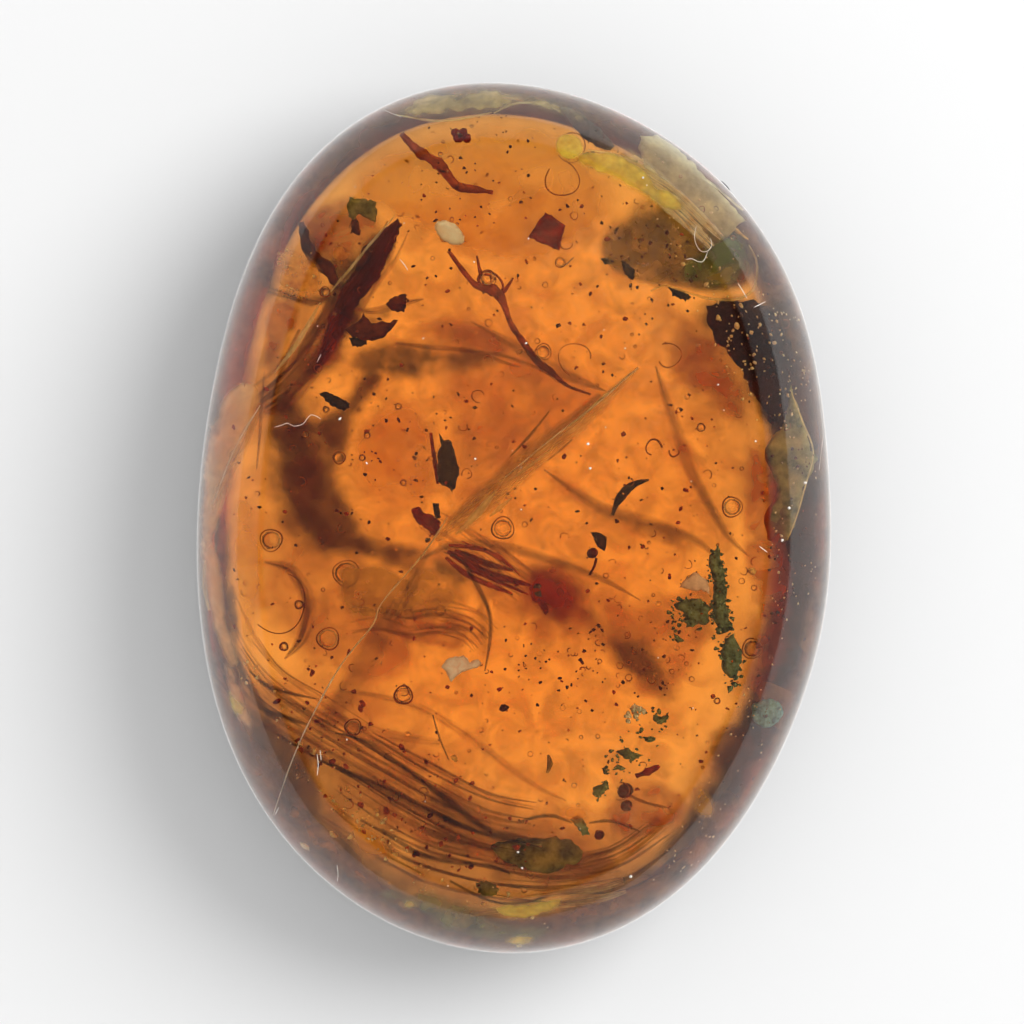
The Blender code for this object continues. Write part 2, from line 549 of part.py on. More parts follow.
def flow_block(name, above):
    """Block that ends at the flow layer, to keep the amber above or below it."""
    data = bmesh.new()
    columns, rows = FLOW_CELLS
    shift = GAP / 2 if above else -GAP / 2
    flat = BLOCK_TOP if above else BLOCK_BOTTOM
    waved = []
    level = []
    for row in range(rows + 1):
        y = BLOCK_REACH[1] * (2 * row / rows - 1)
        xs = [BLOCK_REACH[0] * (2 * column / columns - 1) for column in range(columns + 1)]
        waved.append([data.verts.new((x, y, flow_height(x, y) + shift)) for x in xs])
        level.append([data.verts.new((x, y, flat)) for x in xs])
    for grid in (waved, level):
        for low, high in zip(grid, grid[1:]):
            for k in range(columns):
                data.faces.new((low[k], low[k + 1], high[k + 1], high[k]))
    rims = [(grid[0] + [row[-1] for row in grid[1:]] + grid[-1][-2::-1] + [row[0] for row in grid[-2:0:-1]])
            for grid in (waved, level)]
    for k in range(len(rims[0])):
        n = (k + 1) % len(rims[0])
        data.faces.new((rims[0][k], rims[0][n], rims[1][n], rims[1][k]))
    return hide_guide(new_object(name, data))


def add_amber():
    """The clear pebble in two halves, parted at the flow layer and hollowed around each piece."""
    amber = finish((0.9, 0.38, 0.06), 0.03, transmission=1.0)
    for name, above in (("amber_upper", True), ("amber_lower", False)):
        half = new_object(name, pebble_mesh(), amber, smooth_angle=35)
        combine(half, flow_block(name + "_side", above), 'INTERSECT')
        combine(half, pocket_home(), 'DIFFERENCE')


def main():
    for item in list(bpy.data.objects):
        bpy.data.objects.remove(item)
    add_twigs()
    add_charcoal()
    add_bark()
    add_fibres()
    add_leaf_scraps()
    add_moss()
    add_pale_pieces()
    add_seeds()
    add_amber()


main()
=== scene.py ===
"""Looks of the amber pebble: clear resin, sealed scraps, flow bands, cracks, bubbles, dust and studio.

Everything is built in millimetres and placed by pixels of the photograph, 1024 by 1024, seen from
straight above. sunk() follows the sight line of a pixel down through the polished top, which bends it.
"""

import math
import random

import bmesh
import bpy
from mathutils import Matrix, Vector, noise
from mathutils.geometry import delaunay_2d_cdt


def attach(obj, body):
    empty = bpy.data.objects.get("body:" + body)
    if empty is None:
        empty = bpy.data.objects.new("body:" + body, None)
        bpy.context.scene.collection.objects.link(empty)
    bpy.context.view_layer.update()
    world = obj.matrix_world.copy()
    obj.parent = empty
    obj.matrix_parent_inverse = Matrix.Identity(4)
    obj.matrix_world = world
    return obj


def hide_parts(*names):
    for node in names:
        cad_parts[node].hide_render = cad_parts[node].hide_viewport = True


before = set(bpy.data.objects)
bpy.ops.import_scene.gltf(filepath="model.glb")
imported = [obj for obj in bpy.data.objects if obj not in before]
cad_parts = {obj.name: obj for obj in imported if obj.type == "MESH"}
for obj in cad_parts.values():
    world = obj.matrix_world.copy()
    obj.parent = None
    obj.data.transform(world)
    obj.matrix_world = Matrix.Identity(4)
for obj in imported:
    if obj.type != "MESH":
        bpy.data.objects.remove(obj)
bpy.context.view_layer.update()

MM = 0.001

# Photograph to pebble: millimetres for one pixel, and the pixel over the pebble's box centre
PIXEL = 40.0 / 873.5
PHOTO_CENTRE = (514.0, 518.25)
FRAME_PIXELS = 1024
FRAME_CENTRE = (512.0, 512.0)
CAMERA_LENS = 460.0
CAMERA_SENSOR = 36.0

# Pebble, in millimetres, as in the solids
OUTLINE_MEAN = 17.14
OUTLINE_WAVES = (
    (1, -0.17, 0.08),
    (2, -2.72, 0.08),
    (3, 0.19, -0.03),
    (4, 0.12, 0.12),
    (5, -0.06, -0.08),
    (6, 0.01, -0.08),
)
OUTLINE_CORNERS = 44
GIRDLE_HEIGHT = 6.4
TOP_RISE = 8.0
UNDER_DROP = 6.8
TOP_FULLNESS = (2.5, 2.1)
UNDER_FULLNESS = (2.6, 2.2)
FLOW_HEIGHT = 7.2
FLOW_WAVES = ((0.35, 0.16, 0.10, 0.0), (0.25, -0.20, 0.13, 1.0))
REFRACTION = 1.54
SKIN = 0.997
OUTERMOST = 0.985
SLOPE_STEP = 0.05

# What lies in the resin, in millimetres: least depth under the polish, share of its lift that a piece keeps
# there so that films stay one over another, and least height over the underside
LEAST_DEPTH = 0.6
KEPT_LIFT = 0.05
LEAST_HEIGHT = 0.25
SIGHT_ROUNDS = 6

# Triangle field that fills an outline, in shares of its step
ROW_HEIGHT = 0.87
JITTER = 0.15
EDGE_CLEARANCE = 0.45

# How fast each kind of unevenness changes, for one pixel
FILM_SWELL = 0.02
BAND_SWAY = 0.03
SCRAP_RELIEF = 0.13
CRUMB_CLUSTERS = 0.025

# Edge of a scrap, as a share of its thickness; kinks of a stem in millimetres, and its least radius in pixels
SCRAP_EDGE = 0.12
STEM_KINKS = 0.02
LEAST_STEM = 0.3


def outline_radius(angle):
    """Radius of the widest section in one direction from the pebble's heart."""
    waves = sum(c * math.cos(n * angle) + s * math.sin(n * angle) for n, c, s in OUTLINE_WAVES)
    return OUTLINE_MEAN + waves


def heart_offset():
    """Where the heart lies from the centre of the pebble's box."""
    angles = [math.tau * k / OUTLINE_CORNERS for k in range(OUTLINE_CORNERS)]
    xs = [outline_radius(a) * math.cos(a) for a in angles]
    ys = [outline_radius(a) * math.sin(a) for a in angles]
    return Vector((-(min(xs) + max(xs)) / 2, -(min(ys) + max(ys)) / 2))


HEART = heart_offset()


def rim_share(x, y):
    """How far out a plan point lies, from 0 at the heart to 1 at the widest outline."""
    dx, dy = x - HEART.x, y - HEART.y
    return math.hypot(dx, dy) / outline_radius(math.atan2(dy, dx))


def swell_share(x, y, fullness):
    """Share of the full rise or drop over a plan point."""
    share = min(rim_share(x, y) / SKIN, OUTERMOST)
    along, up = fullness
    return (1 - share ** along) ** (1 / up)


def top_height(x, y):
    """Height of the polished top over a plan point."""
    return GIRDLE_HEIGHT + TOP_RISE * swell_share(x, y, TOP_FULLNESS)


def under_height(x, y):
    """Height of the polished underside under a plan point."""
    return max(GIRDLE_HEIGHT - UNDER_DROP * swell_share(x, y, UNDER_FULLNESS), 0.0)


def top_point(px, py):
    """Place on the polished top over a pixel of the photograph."""
    x, y = seen_at(px, py)
    return Vector((x, y, top_height(x, y)))


def top_normal(x, y):
    """Outward direction of the polished top over a plan point."""
    slope_x = (top_height(x + SLOPE_STEP, y) - top_height(x - SLOPE_STEP, y)) / (2 * SLOPE_STEP)
    slope_y = (top_height(x, y + SLOPE_STEP) - top_height(x, y - SLOPE_STEP)) / (2 * SLOPE_STEP)
    return Vector((-slope_x, -slope_y, 1.0)).normalized()


def flow_height(x, y):
    """Height of the flow layer over a true point."""
    return FLOW_HEIGHT + sum(h * math.sin(ax * x + ay * y + start) for h, ax, ay, start in FLOW_WAVES)


def seen_at(px, py):
    """Plan point, in millimetres, of a pixel of the photograph."""
    return (px - PHOTO_CENTRE[0]) * PIXEL, (PHOTO_CENTRE[1] - py) * PIXEL


def uneven_at(x, y, pace, layer):
    """Smooth unevenness at a pixel, between about -1 and 1."""
    return noise.noise(Vector((x * pace, y * pace, layer)))


def sunk(px, py, lift=0.0):
    """True place of what shows at a pixel, a lift above the flow layer, or as near under the top as fits."""
    x, y = seen_at(px, py)
    share = rim_share(x, y)
    if share > OUTERMOST:
        x, y = HEART.x + (x - HEART.x) * OUTERMOST / share, HEART.y + (y - HEART.y) * OUTERMOST / share
    entry = Vector((x, y, top_height(x, y)))
    normal = top_normal(x, y)
    ratio = 1 / REFRACTION
    bend = ratio * normal.z - math.sqrt(1 - ratio ** 2 * (1 - normal.z ** 2))
    sight = Vector((0, 0, -ratio)) + bend * normal
    highest = entry.z - LEAST_DEPTH + KEPT_LIFT * lift
    place = entry
    for _ in range(SIGHT_ROUNDS):
        level = min(flow_height(place.x, place.y) + lift, highest)
        place = entry + sight * ((entry.z - level) / -sight.z)
    place.z = max(place.z, under_height(place.x, place.y) + LEAST_HEIGHT)
    return place


# Meshes


def linked(name, data):
    """New object of a mesh, lamp or camera, linked to the scene."""
    thing = bpy.data.objects.new(name, data)
    bpy.context.scene.collection.objects.link(thing)
    return thing


def new_body(name, data, finish):
    """Object with a finish, from a mesh built in millimetres."""
    bmesh.ops.scale(data, vec=(MM, MM, MM), verts=data.verts)
    mesh = bpy.data.meshes.new(name)
    data.to_mesh(mesh)
    data.free()
    mesh.materials.append(finish)
    return linked(name, mesh)


def new_piece(name, data, finish, nodes=(), closed=False):
    """Smooth piece riding on the pebble, in place of any nodes named; a closed one gets its faces outward."""
    if closed:
        bmesh.ops.recalc_face_normals(data, faces=data.faces)
    piece = new_body(name, data, finish)
    piece.data.shade_smooth()
    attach(piece, "root")
    if nodes:
        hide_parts(*nodes)


def bridge(data, rows, closed):
    """Faces between neighbouring rows of corners, each row closed round or open."""
    count = len(rows[0])
    for first, second in zip(rows, rows[1:]):
        for k in range(count if closed else count - 1):
            n = (k + 1) % count
            data.faces.new((first[k], second[k], second[n], first[n]))


def along_curve(points, step):
    """Points with their widths, resampled along a smooth curve at a pixel step."""
    ends = [points[0], *points, points[-1]]
    curve = []
    for k in range(1, len(ends) - 2):
        a, b, c, d = ends[k - 1:k + 3]
        parts = max(1, round(math.dist(b[:2], c[:2]) / step))
        for j in range(parts):
            t = j / parts
            curve.append(tuple(
                0.5 * (2 * q + (r - p) * t + (2 * p - 5 * q + 4 * r - s) * t ** 2
                       + (3 * q - p - 3 * r + s) * t ** 3)
                for p, q, r, s in zip(a, b, c, d)))
    curve.append(tuple(points[-1]))
    return curve


def rounded(outline, rounds=2, cut=0.25):
    """An outline with its corners cut, as weathered edges have."""
    for _ in range(rounds):
        trimmed = []
        for (ax, ay), (bx, by) in zip(outline, outline[1:] + outline[:1]):
            trimmed += [(ax * (1 - share) + bx * share, ay * (1 - share) + by * share)
                        for share in (cut, 1 - cut)]
        outline = trimmed
    return outline


def is_inside(x, y, outline):
    """Whether a pixel lies inside an outline."""
    found = False
    ax, ay = outline[-1]
    for bx, by in outline:
        if (ay > y) != (by > y) and x < (bx - ax) * (y - ay) / (by - ay) + ax:
            found = not found
        ax, ay = bx, by
    return found


def edge_gap(x, y, outline):
    """Distance from a pixel to an outline, in pixels."""
    nearest = math.inf
    ax, ay = outline[-1]
    for bx, by in outline:
        dx, dy = bx - ax, by - ay
        share = ((x - ax) * dx + (y - ay) * dy) / (dx * dx + dy * dy + 1e-12)
        share = min(max(share, 0.0), 1.0)
        nearest = min(nearest, (ax + dx * share - x) ** 2 + (ay + dy * share - y) ** 2)
        ax, ay = bx, by
    return math.sqrt(nearest)


def filled(outline, step, frayed, seed):
    """Corners, triangles and edge distances, in pixels, of a field that fills an outline."""
    chance = random.Random(seed)
    edge = []
    for (ax, ay), (bx, by) in zip(outline, outline[1:] + outline[:1]):
        length = math.dist((ax, ay), (bx, by))
        parts = max(1, round(length / step))
        for k in range(parts):
            push = chance.uniform(-frayed, frayed) / max(length, 1e-6)
            share = k / parts
            edge.append((ax + (bx - ax) * share - (by - ay) * push, ay + (by - ay) * share + (bx - ax) * push))
    xs, ys = zip(*edge)
    inner = []
    for row in range(int((max(ys) - min(ys)) / (step * ROW_HEIGHT)) + 1):
        for column in range(int((max(xs) - min(xs)) / step) + 1):
            x = min(xs) + (column + 0.5 * (row % 2) + chance.uniform(-JITTER, JITTER)) * step
            y = min(ys) + (row + chance.uniform(-JITTER, JITTER)) * step * ROW_HEIGHT
            if is_inside(x, y, edge) and edge_gap(x, y, edge) > step * EDGE_CLEARANCE:
                inner.append((x, y))
    points = [Vector(p) for p in edge + inner]
    corners, _, triangles, *_ = delaunay_2d_cdt(points, [], [list(range(len(edge)))], 1, 1e-4)
    return corners, triangles, [edge_gap(c.x, c.y, edge) for c in corners]


def add_film(name, outline, finish, lift, fade, step, frayed, seed, swell=0.5):
    """Soft-edged cloud, stain, thin skin, painted shade or painted glint inside the resin, with how far each
    corner is from fading out.
    """
    corners, triangles, gaps = filled(rounded(outline), step, frayed, seed)
    data = bmesh.new()
    depth = data.verts.layers.float.new("edge")
    made = []
    for corner, gap in zip(corners, gaps):
        wave = swell * uneven_at(corner.x, corner.y, FILM_SWELL, lift)
        vert = data.verts.new(sunk(corner.x, corner.y, lift + wave))
        vert[depth] = gap * PIXEL / fade
        made.append(vert)
    for triangle in triangles:
        data.faces.new([made[i] for i in reversed(triangle)])
    new_piece(name, data, finish)


def add_scrap(name, outline, finish, nodes, lift, thick, step, bevel, frayed, seed, relief=0.35):
    """Closed torn scrap with a thin edge and an uneven face, along the flow layer."""
    corners, triangles, gaps = filled(outline, step, frayed, seed)
    data = bmesh.new()
    faces = ([], [])
    for corner, gap in zip(corners, gaps):
        centre = sunk(corner.x, corner.y, lift)
        swell = min(gap * PIXEL / bevel, 1.0)
        rough = 1 + relief * uneven_at(corner.x, corner.y, SCRAP_RELIEF, seed)
        half = thick / 2 * (SCRAP_EDGE + (1 - SCRAP_EDGE) * math.sqrt(swell * (2 - swell))) * rough
        for side, made in zip((1, -1), faces):
            made.append(data.verts.new(centre + Vector((0, 0, side * half))))
    uses = {}
    for triangle in triangles:
        data.faces.new([faces[0][i] for i in reversed(triangle)])
        data.faces.new([faces[1][i] for i in triangle])
        for a, b in zip(triangle, (*triangle[1:], triangle[0])):
            uses[frozenset((a, b))] = None if frozenset((a, b)) in uses else (a, b)
    for a, b in filter(None, uses.values()):
        data.faces.new([faces[0][a], faces[0][b], faces[1][b], faces[1][a]])
    new_piece(name, data, finish, nodes, closed=True)


def add_band(name, paths, finish, lift, bank, step=8.0, across=4, wander=0.25):
    """Flow lines, smoky bands, crack faces and painted glint streaks: ribbons of (pixel, pixel, half width) along
    the flow.
    """
    data = bmesh.new()
    run_layer = data.verts.layers.float.new("along")
    side_layer = data.verts.layers.float.new("across")
    for number, path in enumerate(paths):
        curve = along_curve(path, step)
        rows, run = [], 7.0 * number
        for k, (x, y, half) in enumerate(curve):
            before, after = curve[max(k - 1, 0)], curve[min(k + 1, len(curve) - 1)]
            dx, dy = after[0] - before[0], after[1] - before[1]
            length = math.hypot(dx, dy) or 1.0
            run += math.dist(before[:2], (x, y)) * PIXEL
            sway = wander * uneven_at(x, y, BAND_SWAY, number)
            row = []
            for j in range(across + 1):
                side = 2 * j / across - 1
                vert = data.verts.new(sunk(x - dy / length * half * side, y + dx / length * half * side,
                                           lift + bank * side + sway))
                vert[run_layer], vert[side_layer] = run, side
                row.append(vert)
            rows.append(row)
        bridge(data, list(zip(*rows)), closed=False)
    new_piece(name, data, finish)


def tube(data, points, radii, sides):
    """Closed round thread through points, in millimetres, added to a mesh."""
    rings = []
    for k, (point, radius) in enumerate(zip(points, radii)):
        run = (points[min(k + 1, len(points) - 1)] - points[max(k - 1, 0)]).normalized()
        side = run.cross(Vector((0, 0, 1)) if abs(run.z) < 0.9 else Vector((1, 0, 0))).normalized()
        up = side.cross(run)
        rings.append([data.verts.new(point + (side * math.cos(t) + up * math.sin(t)) * radius)
                      for t in (math.tau * j / sides for j in range(sides))])
    bridge(data, rings, closed=True)
    data.faces.new(rings[0])
    data.faces.new(rings[-1][::-1])


def add_stems(name, paths, finish, nodes=(), lift=0.0, sides=9, step=4.0, knots=0.15, seed=1):
    """Twigs, fibres and needles: tapering stems of (pixel, pixel, radius in pixels)."""
    data = bmesh.new()
    chance = random.Random(seed)
    for path in paths:
        curve = along_curve(path, step)
        points = [sunk(x, y, lift) + Vector((0, 0, STEM_KINKS * chance.uniform(-1, 1))) for x, y, _ in curve]
        radii = [max(r, LEAST_STEM) * PIXEL * (1 + knots * chance.uniform(-1, 1)) for _, _, r in curve]
        tube(data, points, radii, sides)
    new_piece(name, data, finish, nodes, closed=True)


def add_surface_threads(name, paths, finish, radius, step=3.0, sides=6):
    """Textile dust: thin threads lying on the polished top."""
    data = bmesh.new()
    for path in paths:
        points = []
        for x, y in along_curve(path, step):
            place = top_point(x, y)
            points.append(place + top_normal(place.x, place.y) * radius * 0.6)
        ends = (0, len(points) - 1)
        tube(data, points, [radius * (0.5 if k in ends else 1.0) for k in range(len(points))], sides)
    new_piece(name, data, finish, closed=True)


def add_grains(name, grains, finish, nodes=(), detail=1, uneven=0.25, flat=0.7, seed=1, on_top=False):
    """Many grains, crumbs, bubbles or specks as one mesh: (pixel, pixel, radius in pixels, lift)."""
    chance = random.Random(seed)
    data = bmesh.new()
    model = bmesh.new()
    bmesh.ops.create_icosphere(model, subdivisions=detail, radius=1.0)
    corners = [v.co.copy() for v in model.verts]
    faces = [[v.index for v in f.verts] for f in model.faces]
    model.free()
    for x, y, radius, lift in grains:
        centre = top_point(x, y) if on_top else sunk(x, y, lift)
        turn = chance.uniform(0, math.tau)
        long = 1 + uneven * chance.random()
        made = []
        for corner in corners:
            swell = radius * PIXEL * (1 + uneven * chance.uniform(-1, 1))
            cx, cy = corner.x * long, corner.y / long
            made.append(data.verts.new(centre + Vector((
                (cx * math.cos(turn) - cy * math.sin(turn)) * swell,
                (cx * math.sin(turn) + cy * math.cos(turn)) * swell,
                corner.z * swell * flat))))
        for face in faces:
            data.faces.new([made[i] for i in face])
    new_piece(name, data, finish, nodes)


def add_rings(name, rings, finish, thick, sides, around):
    """Thin dark outlines of flat bubbles, painted shade for the dark rim that bent light gives a bubble: (pixel,
    pixel, radius in pixels, lift, share of the round).
    """
    data = bmesh.new()
    for x, y, radius, lift, share in rings:
        path = []
        turns = [math.tau * share * k / around for k in range(around + 1)]
        for t in turns:
            reach = radius * (1 + 0.05 * math.sin(3 * t + x))
            path.append(sunk(x + reach * math.cos(t + y), y + reach * math.sin(t + y), lift))
        tube(data, path, [thick * PIXEL * (0.6 + 0.4 * math.sin(t * 0.5 + x) ** 2) for t in turns], sides)
    new_piece(name, data, finish, closed=True)


def scattered(outline, count, sizes, lifts, seed):
    """Seeded grains (pixel, pixel, radius, lift) spread unevenly inside an outline, most of them small."""
    chance = random.Random(seed)
    xs, ys = zip(*outline)
    grains = []
    while len(grains) < count:
        x, y = chance.uniform(min(xs), max(xs)), chance.uniform(min(ys), max(ys))
        thick = uneven_at(x, y, CRUMB_CLUSTERS, seed) + 0.55
        if is_inside(x, y, outline) and chance.random() < thick:
            size = sizes[0] + (sizes[1] - sizes[0]) * chance.random() ** 2.5
            grains.append((x, y, size, chance.uniform(*lifts)))
    return grains


# Finishes


def feed(tree, node, inputs):
    """Sets inputs of a node, each to a number or colour or by a link from another socket."""
    for socket, value in dict(inputs).items():
        if isinstance(value, bpy.types.NodeSocket):
            tree.links.new(value, node.inputs[socket])
        else:
            node.inputs[socket].default_value = value


def add_node(tree, kind, inputs=(), **settings):
    """A shader node with its settings and inputs."""
    node = tree.nodes.new("ShaderNode" + kind)
    for setting, value in settings.items():
        setattr(node, setting, value)
    feed(tree, node, inputs)
    return node


def maths(tree, operation, *values, clamp=False):
    """Result of one step of arithmetic on numbers and sockets."""
    return add_node(tree, "Math", enumerate(values), operation=operation, use_clamp=clamp).outputs[0]


def grainy(tree, place, scale, detail, **values):
    """Noise of one scale."""
    inputs = {"Vector": place, "Scale": scale, "Detail": detail, **values}
    return add_node(tree, "TexNoise", inputs).outputs["Fac"]


def ranged(tree, value, low, high, top=1.0, smooth=True):
    """A value brought from between two limits to between 0 and a top."""
    return add_node(tree, "MapRange", {"Value": value, "From Min": low, "From Max": high, "To Max": top},
                    interpolation_type='SMOOTHSTEP' if smooth else 'LINEAR').outputs["Result"]


def unworn(tree, grain, low, high, share):
    """What is left whole where a share is worn away in the patches of a grain."""
    thin = maths(tree, 'MULTIPLY', ranged(tree, grain, low, high, smooth=False), share)
    return maths(tree, 'SUBTRACT', 1.0, thin)


def new_group(name, inputs, outputs):
    """Empty node group with named inputs and outputs of given kinds, and its inner ends."""
    group = bpy.data.node_groups.new(name, 'ShaderNodeTree')
    for ends, way in ((inputs, 'INPUT'), (outputs, 'OUTPUT')):
        for label, kind in ends.items():
            group.interface.new_socket(label, in_out=way, socket_type='NodeSocket' + kind)
    return group, group.nodes.new("NodeGroupInput").outputs, group.nodes.new("NodeGroupOutput")


def mottle_group():
    """Two tones mixed by uneven grain, with the relief of that grain."""
    group, given, out = new_group(
        "two_tone_mottle",
        {"Place": 'Vector', "Grain": 'Float', "Contrast": 'Float', "Dark Tone": 'Color', "Light Tone": 'Color'},
        {"Tone": 'Color', "Relief": 'Float'})
    grain = grainy(group, given["Place"], given["Grain"], 3.0, Roughness=0.65)
    centred = maths(group, 'SUBTRACT', grain, 0.5)
    spread = maths(group, 'MULTIPLY_ADD', centred, given["Contrast"], 0.5, clamp=True)
    tone = add_node(group, "Mix", {0: spread, 6: given["Dark Tone"], 7: given["Light Tone"]}, data_type='RGBA')
    feed(group, out, {"Tone": tone.outputs[2], "Relief": grain})
    return group


def frayed_group():
    """Cover of a film that fades and frays towards its edge and thins in patches."""
    group, given, out = new_group(
        "frayed_cover",
        {"Edge": 'Float', "Place": 'Vector', "Grain": 'Float', "Fray": 'Float', "Patchiness": 'Float',
         "Cover": 'Float'},
        {"Mask": 'Float'})
    coarse = grainy(group, given["Place"], given["Grain"], 2.0, Roughness=0.6)
    bitten = maths(group, 'MULTIPLY', maths(group, 'SUBTRACT', coarse, 0.5), given["Fray"])
    reach = maths(group, 'MULTIPLY_ADD', bitten, 4.5, 1.0)
    fade = ranged(group, maths(group, 'MULTIPLY', given["Edge"], reach), 0.0, 1.0)
    finer = maths(group, 'MULTIPLY', given["Grain"], 2.3)
    patches = grainy(group, given["Place"], finer, 2.0, Distortion=0.6)
    whole = unworn(group, patches, 0.36, 0.66, given["Patchiness"])
    shown = maths(group, 'MULTIPLY', fade, whole)
    feed(group, out, {"Mask": maths(group, 'MULTIPLY', shown, given["Cover"], clamp=True)})
    return group


def streaked_group():
    """Cover of a band that thins towards both sides and breaks into streaks along its run."""
    group, given, out = new_group(
        "streaked_cover",
        {"Along": 'Float', "Across": 'Float', "Run": 'Float', "Split": 'Float', "Break": 'Float',
         "Cover": 'Float'},
        {"Mask": 'Float', "Relief": 'Float'})
    place = add_node(group, "CombineXYZ", {"X": maths(group, 'MULTIPLY', given["Along"], given["Run"]),
                                           "Y": maths(group, 'MULTIPLY', given["Across"], given["Split"])})
    streaks = grainy(group, place.outputs[0], 1.0, 3.0)
    whole = unworn(group, streaks, 0.35, 0.62, given["Break"])
    square = maths(group, 'MULTIPLY', given["Across"], given["Across"])
    inward = maths(group, 'SUBTRACT', 1.0, square, clamp=True)
    shown = maths(group, 'MULTIPLY', inward, whole)
    feed(group, out, {"Mask": maths(group, 'MULTIPLY', shown, given["Cover"], clamp=True), "Relief": streaks})
    return group


MOTTLE = mottle_group()
FRAYED = frayed_group()
STREAKED = streaked_group()


def new_material(name, inputs):
    """Material with inputs of its shader set, with its tree and that shader."""
    material = bpy.data.materials.new(name)
    material.use_nodes = True
    tree = material.node_tree
    shader = tree.nodes["Principled BSDF"]
    feed(tree, shader, inputs)
    return material, tree, shader


def add_bump(tree, shader, height, distance, strength):
    """Relief on a shader, its distance in millimetres."""
    bump = add_node(tree, "Bump", {"Height": height, "Distance": distance * MM, "Strength": strength})
    feed(tree, shader, {"Normal": bump.outputs["Normal"]})


def mottled_finish(name, dark, light, grain, contrast=2.0, roughness=0.6, relief=0.03, specular=0.3):
    """Solid two-toned finish with relief; relief in millimetres."""
    material, tree, shader = new_material(name, {"Roughness": roughness, "Specular IOR Level": specular})
    place = add_node(tree, "TexCoord")
    mottle = add_node(tree, "Group", node_tree=MOTTLE)
    feed(tree, mottle, {"Place": place.outputs["Object"], "Grain": grain, "Contrast": contrast,
                        "Dark Tone": (*dark, 1.0), "Light Tone": (*light, 1.0)})
    feed(tree, shader, {"Base Color": mottle.outputs["Tone"]})
    if relief:
        add_bump(tree, shader, mottle.outputs["Relief"], relief, 0.8)
    return material


def add_cover(material, group, layers, values):
    """See-through cover of a finish, from a group fed by mesh layers and values."""
    tree = material.node_tree
    cover = add_node(tree, "Group", node_tree=group)
    for label in layers:
        layer = add_node(tree, "Attribute", attribute_name=label.lower())
        feed(tree, cover, {label: layer.outputs["Fac"]})
    feed(tree, cover, values)
    feed(tree, tree.nodes["Principled BSDF"], {"Alpha": cover.outputs["Mask"]})
    return material


def film_finish(name, dark, light, grain, cover, fray=0.8, patchy=0.4, patch_grain=None, contrast=2.0):
    """See-through mottled film, frayed at its edge."""
    material = mottled_finish(name, dark, light, grain, contrast, 0.7, 0.0, 0.0)
    place = material.node_tree.nodes["Texture Coordinate"].outputs["Object"]
    return add_cover(material, FRAYED, ("Edge",), {"Place": place, "Grain": patch_grain or grain, "Fray": fray,
                                                   "Patchiness": patchy, "Cover": cover})


def band_finish(name, dark, light, grain, cover, run, split, broken, roughness=0.6):
    """See-through streaked band."""
    material = mottled_finish(name, dark, light, grain, 2.0, roughness, 0.0, 0.0)
    return add_cover(material, STREAKED, ("Along", "Across"),
                     {"Run": run, "Split": split, "Break": broken, "Cover": cover})


def clear_finish(name, refraction, tint=None, density=0.0, ripple=0.0):
    """Clear resin: plain glass values, plain absorption, and a faint ripple of the hand polish."""
    material, tree, shader = new_material(name, {"Base Color": (1.0, 1.0, 1.0, 1.0), "Roughness": 0.0,
                                                 "Transmission Weight": 1.0, "IOR": refraction})
    if ripple:
        place = add_node(tree, "TexCoord")
        add_bump(tree, shader, grainy(tree, place.outputs["Object"], 240.0, 1.0), ripple, 0.3)
    if density:
        body = add_node(tree, "VolumeAbsorption", {"Color": (*tint, 1.0), "Density": density})
        feed(tree, tree.nodes["Material Output"], {"Volume": body.outputs["Volume"]})
    return material


# The clear resin


def skin_ring(count, share, height):
    """One level section of the polished skin."""
    ring = []
    for k in range(count):
        angle = math.tau * k / count
        radius = outline_radius(angle) * share * SKIN
        ring.append(Vector((HEART.x + radius * math.cos(angle), HEART.y + radius * math.sin(angle), height)))
    return ring


def stacked(rings, crown, base):
    """Closed mesh from level rings, top to bottom, with its two end points."""
    data = bmesh.new()
    loops = [[data.verts.new(point) for point in ring] for ring in rings]
    crown, base = data.verts.new(crown), data.verts.new(base)
    count = len(rings[0])
    for k in range(count):
        n = (k + 1) % count
        data.faces.new((crown, loops[0][k], loops[0][n]))
        data.faces.new((base, loops[-1][n], loops[-1][k]))
    bridge(data, loops, closed=True)
    bmesh.ops.recalc_face_normals(data, faces=data.faces)
    return data


def pebble_mesh(around, top_rings, under_rings, under_shares=(0.38, 0.25, 0.12)):
    """The polished skin of the whole pebble as one closed mesh; the shares are rings of the flat underside."""
    rings = []
    along, up = TOP_FULLNESS
    for k in range(1, top_rings + 1):
        turn = math.pi / 2 * k / top_rings
        rise = max(math.cos(turn), 0.0) ** (2 / up)
        rings.append(skin_ring(around, math.sin(turn) ** (2 / along), GIRDLE_HEIGHT + TOP_RISE * rise * SKIN))
    along, up = UNDER_FULLNESS
    last_turn = math.asin((GIRDLE_HEIGHT / UNDER_DROP) ** (up / 2))
    for k in range(1, under_rings + 1):
        turn = last_turn * k / under_rings
        drop = math.sin(turn) ** (2 / up)
        rings.append(skin_ring(around, math.cos(turn) ** (2 / along), GIRDLE_HEIGHT - UNDER_DROP * drop))
    rings += [skin_ring(around, share, 0.0) for share in under_shares]
    return stacked(rings, (HEART.x, HEART.y, GIRDLE_HEIGHT + TOP_RISE * SKIN), (HEART.x, HEART.y, 0.0))


def make_pebble():
    """The whole clear pebble as one closed skin, in place of the two halves."""
    polish = clear_finish("amber_clear_polish", REFRACTION, (0.957, 0.65, 0.067), 300.0, 0.05)
    new_piece("amber_clear", pebble_mesh(160, 44, 30), polish, ("amber_upper", "amber_lower"))


# The studio

PEBBLE_REACH = (14.5 * MM, 19.9 * MM)
# Pale tone of the floor, and its near-black tone under the pebble, a painted shadow where the stone rests
FLOOR_TONE, UNDER_SHADOW_TONE = 0.80, 0.05
GLOW, GLOW_TINT = 1.16, (1.0, 0.985, 0.96, 1.0)
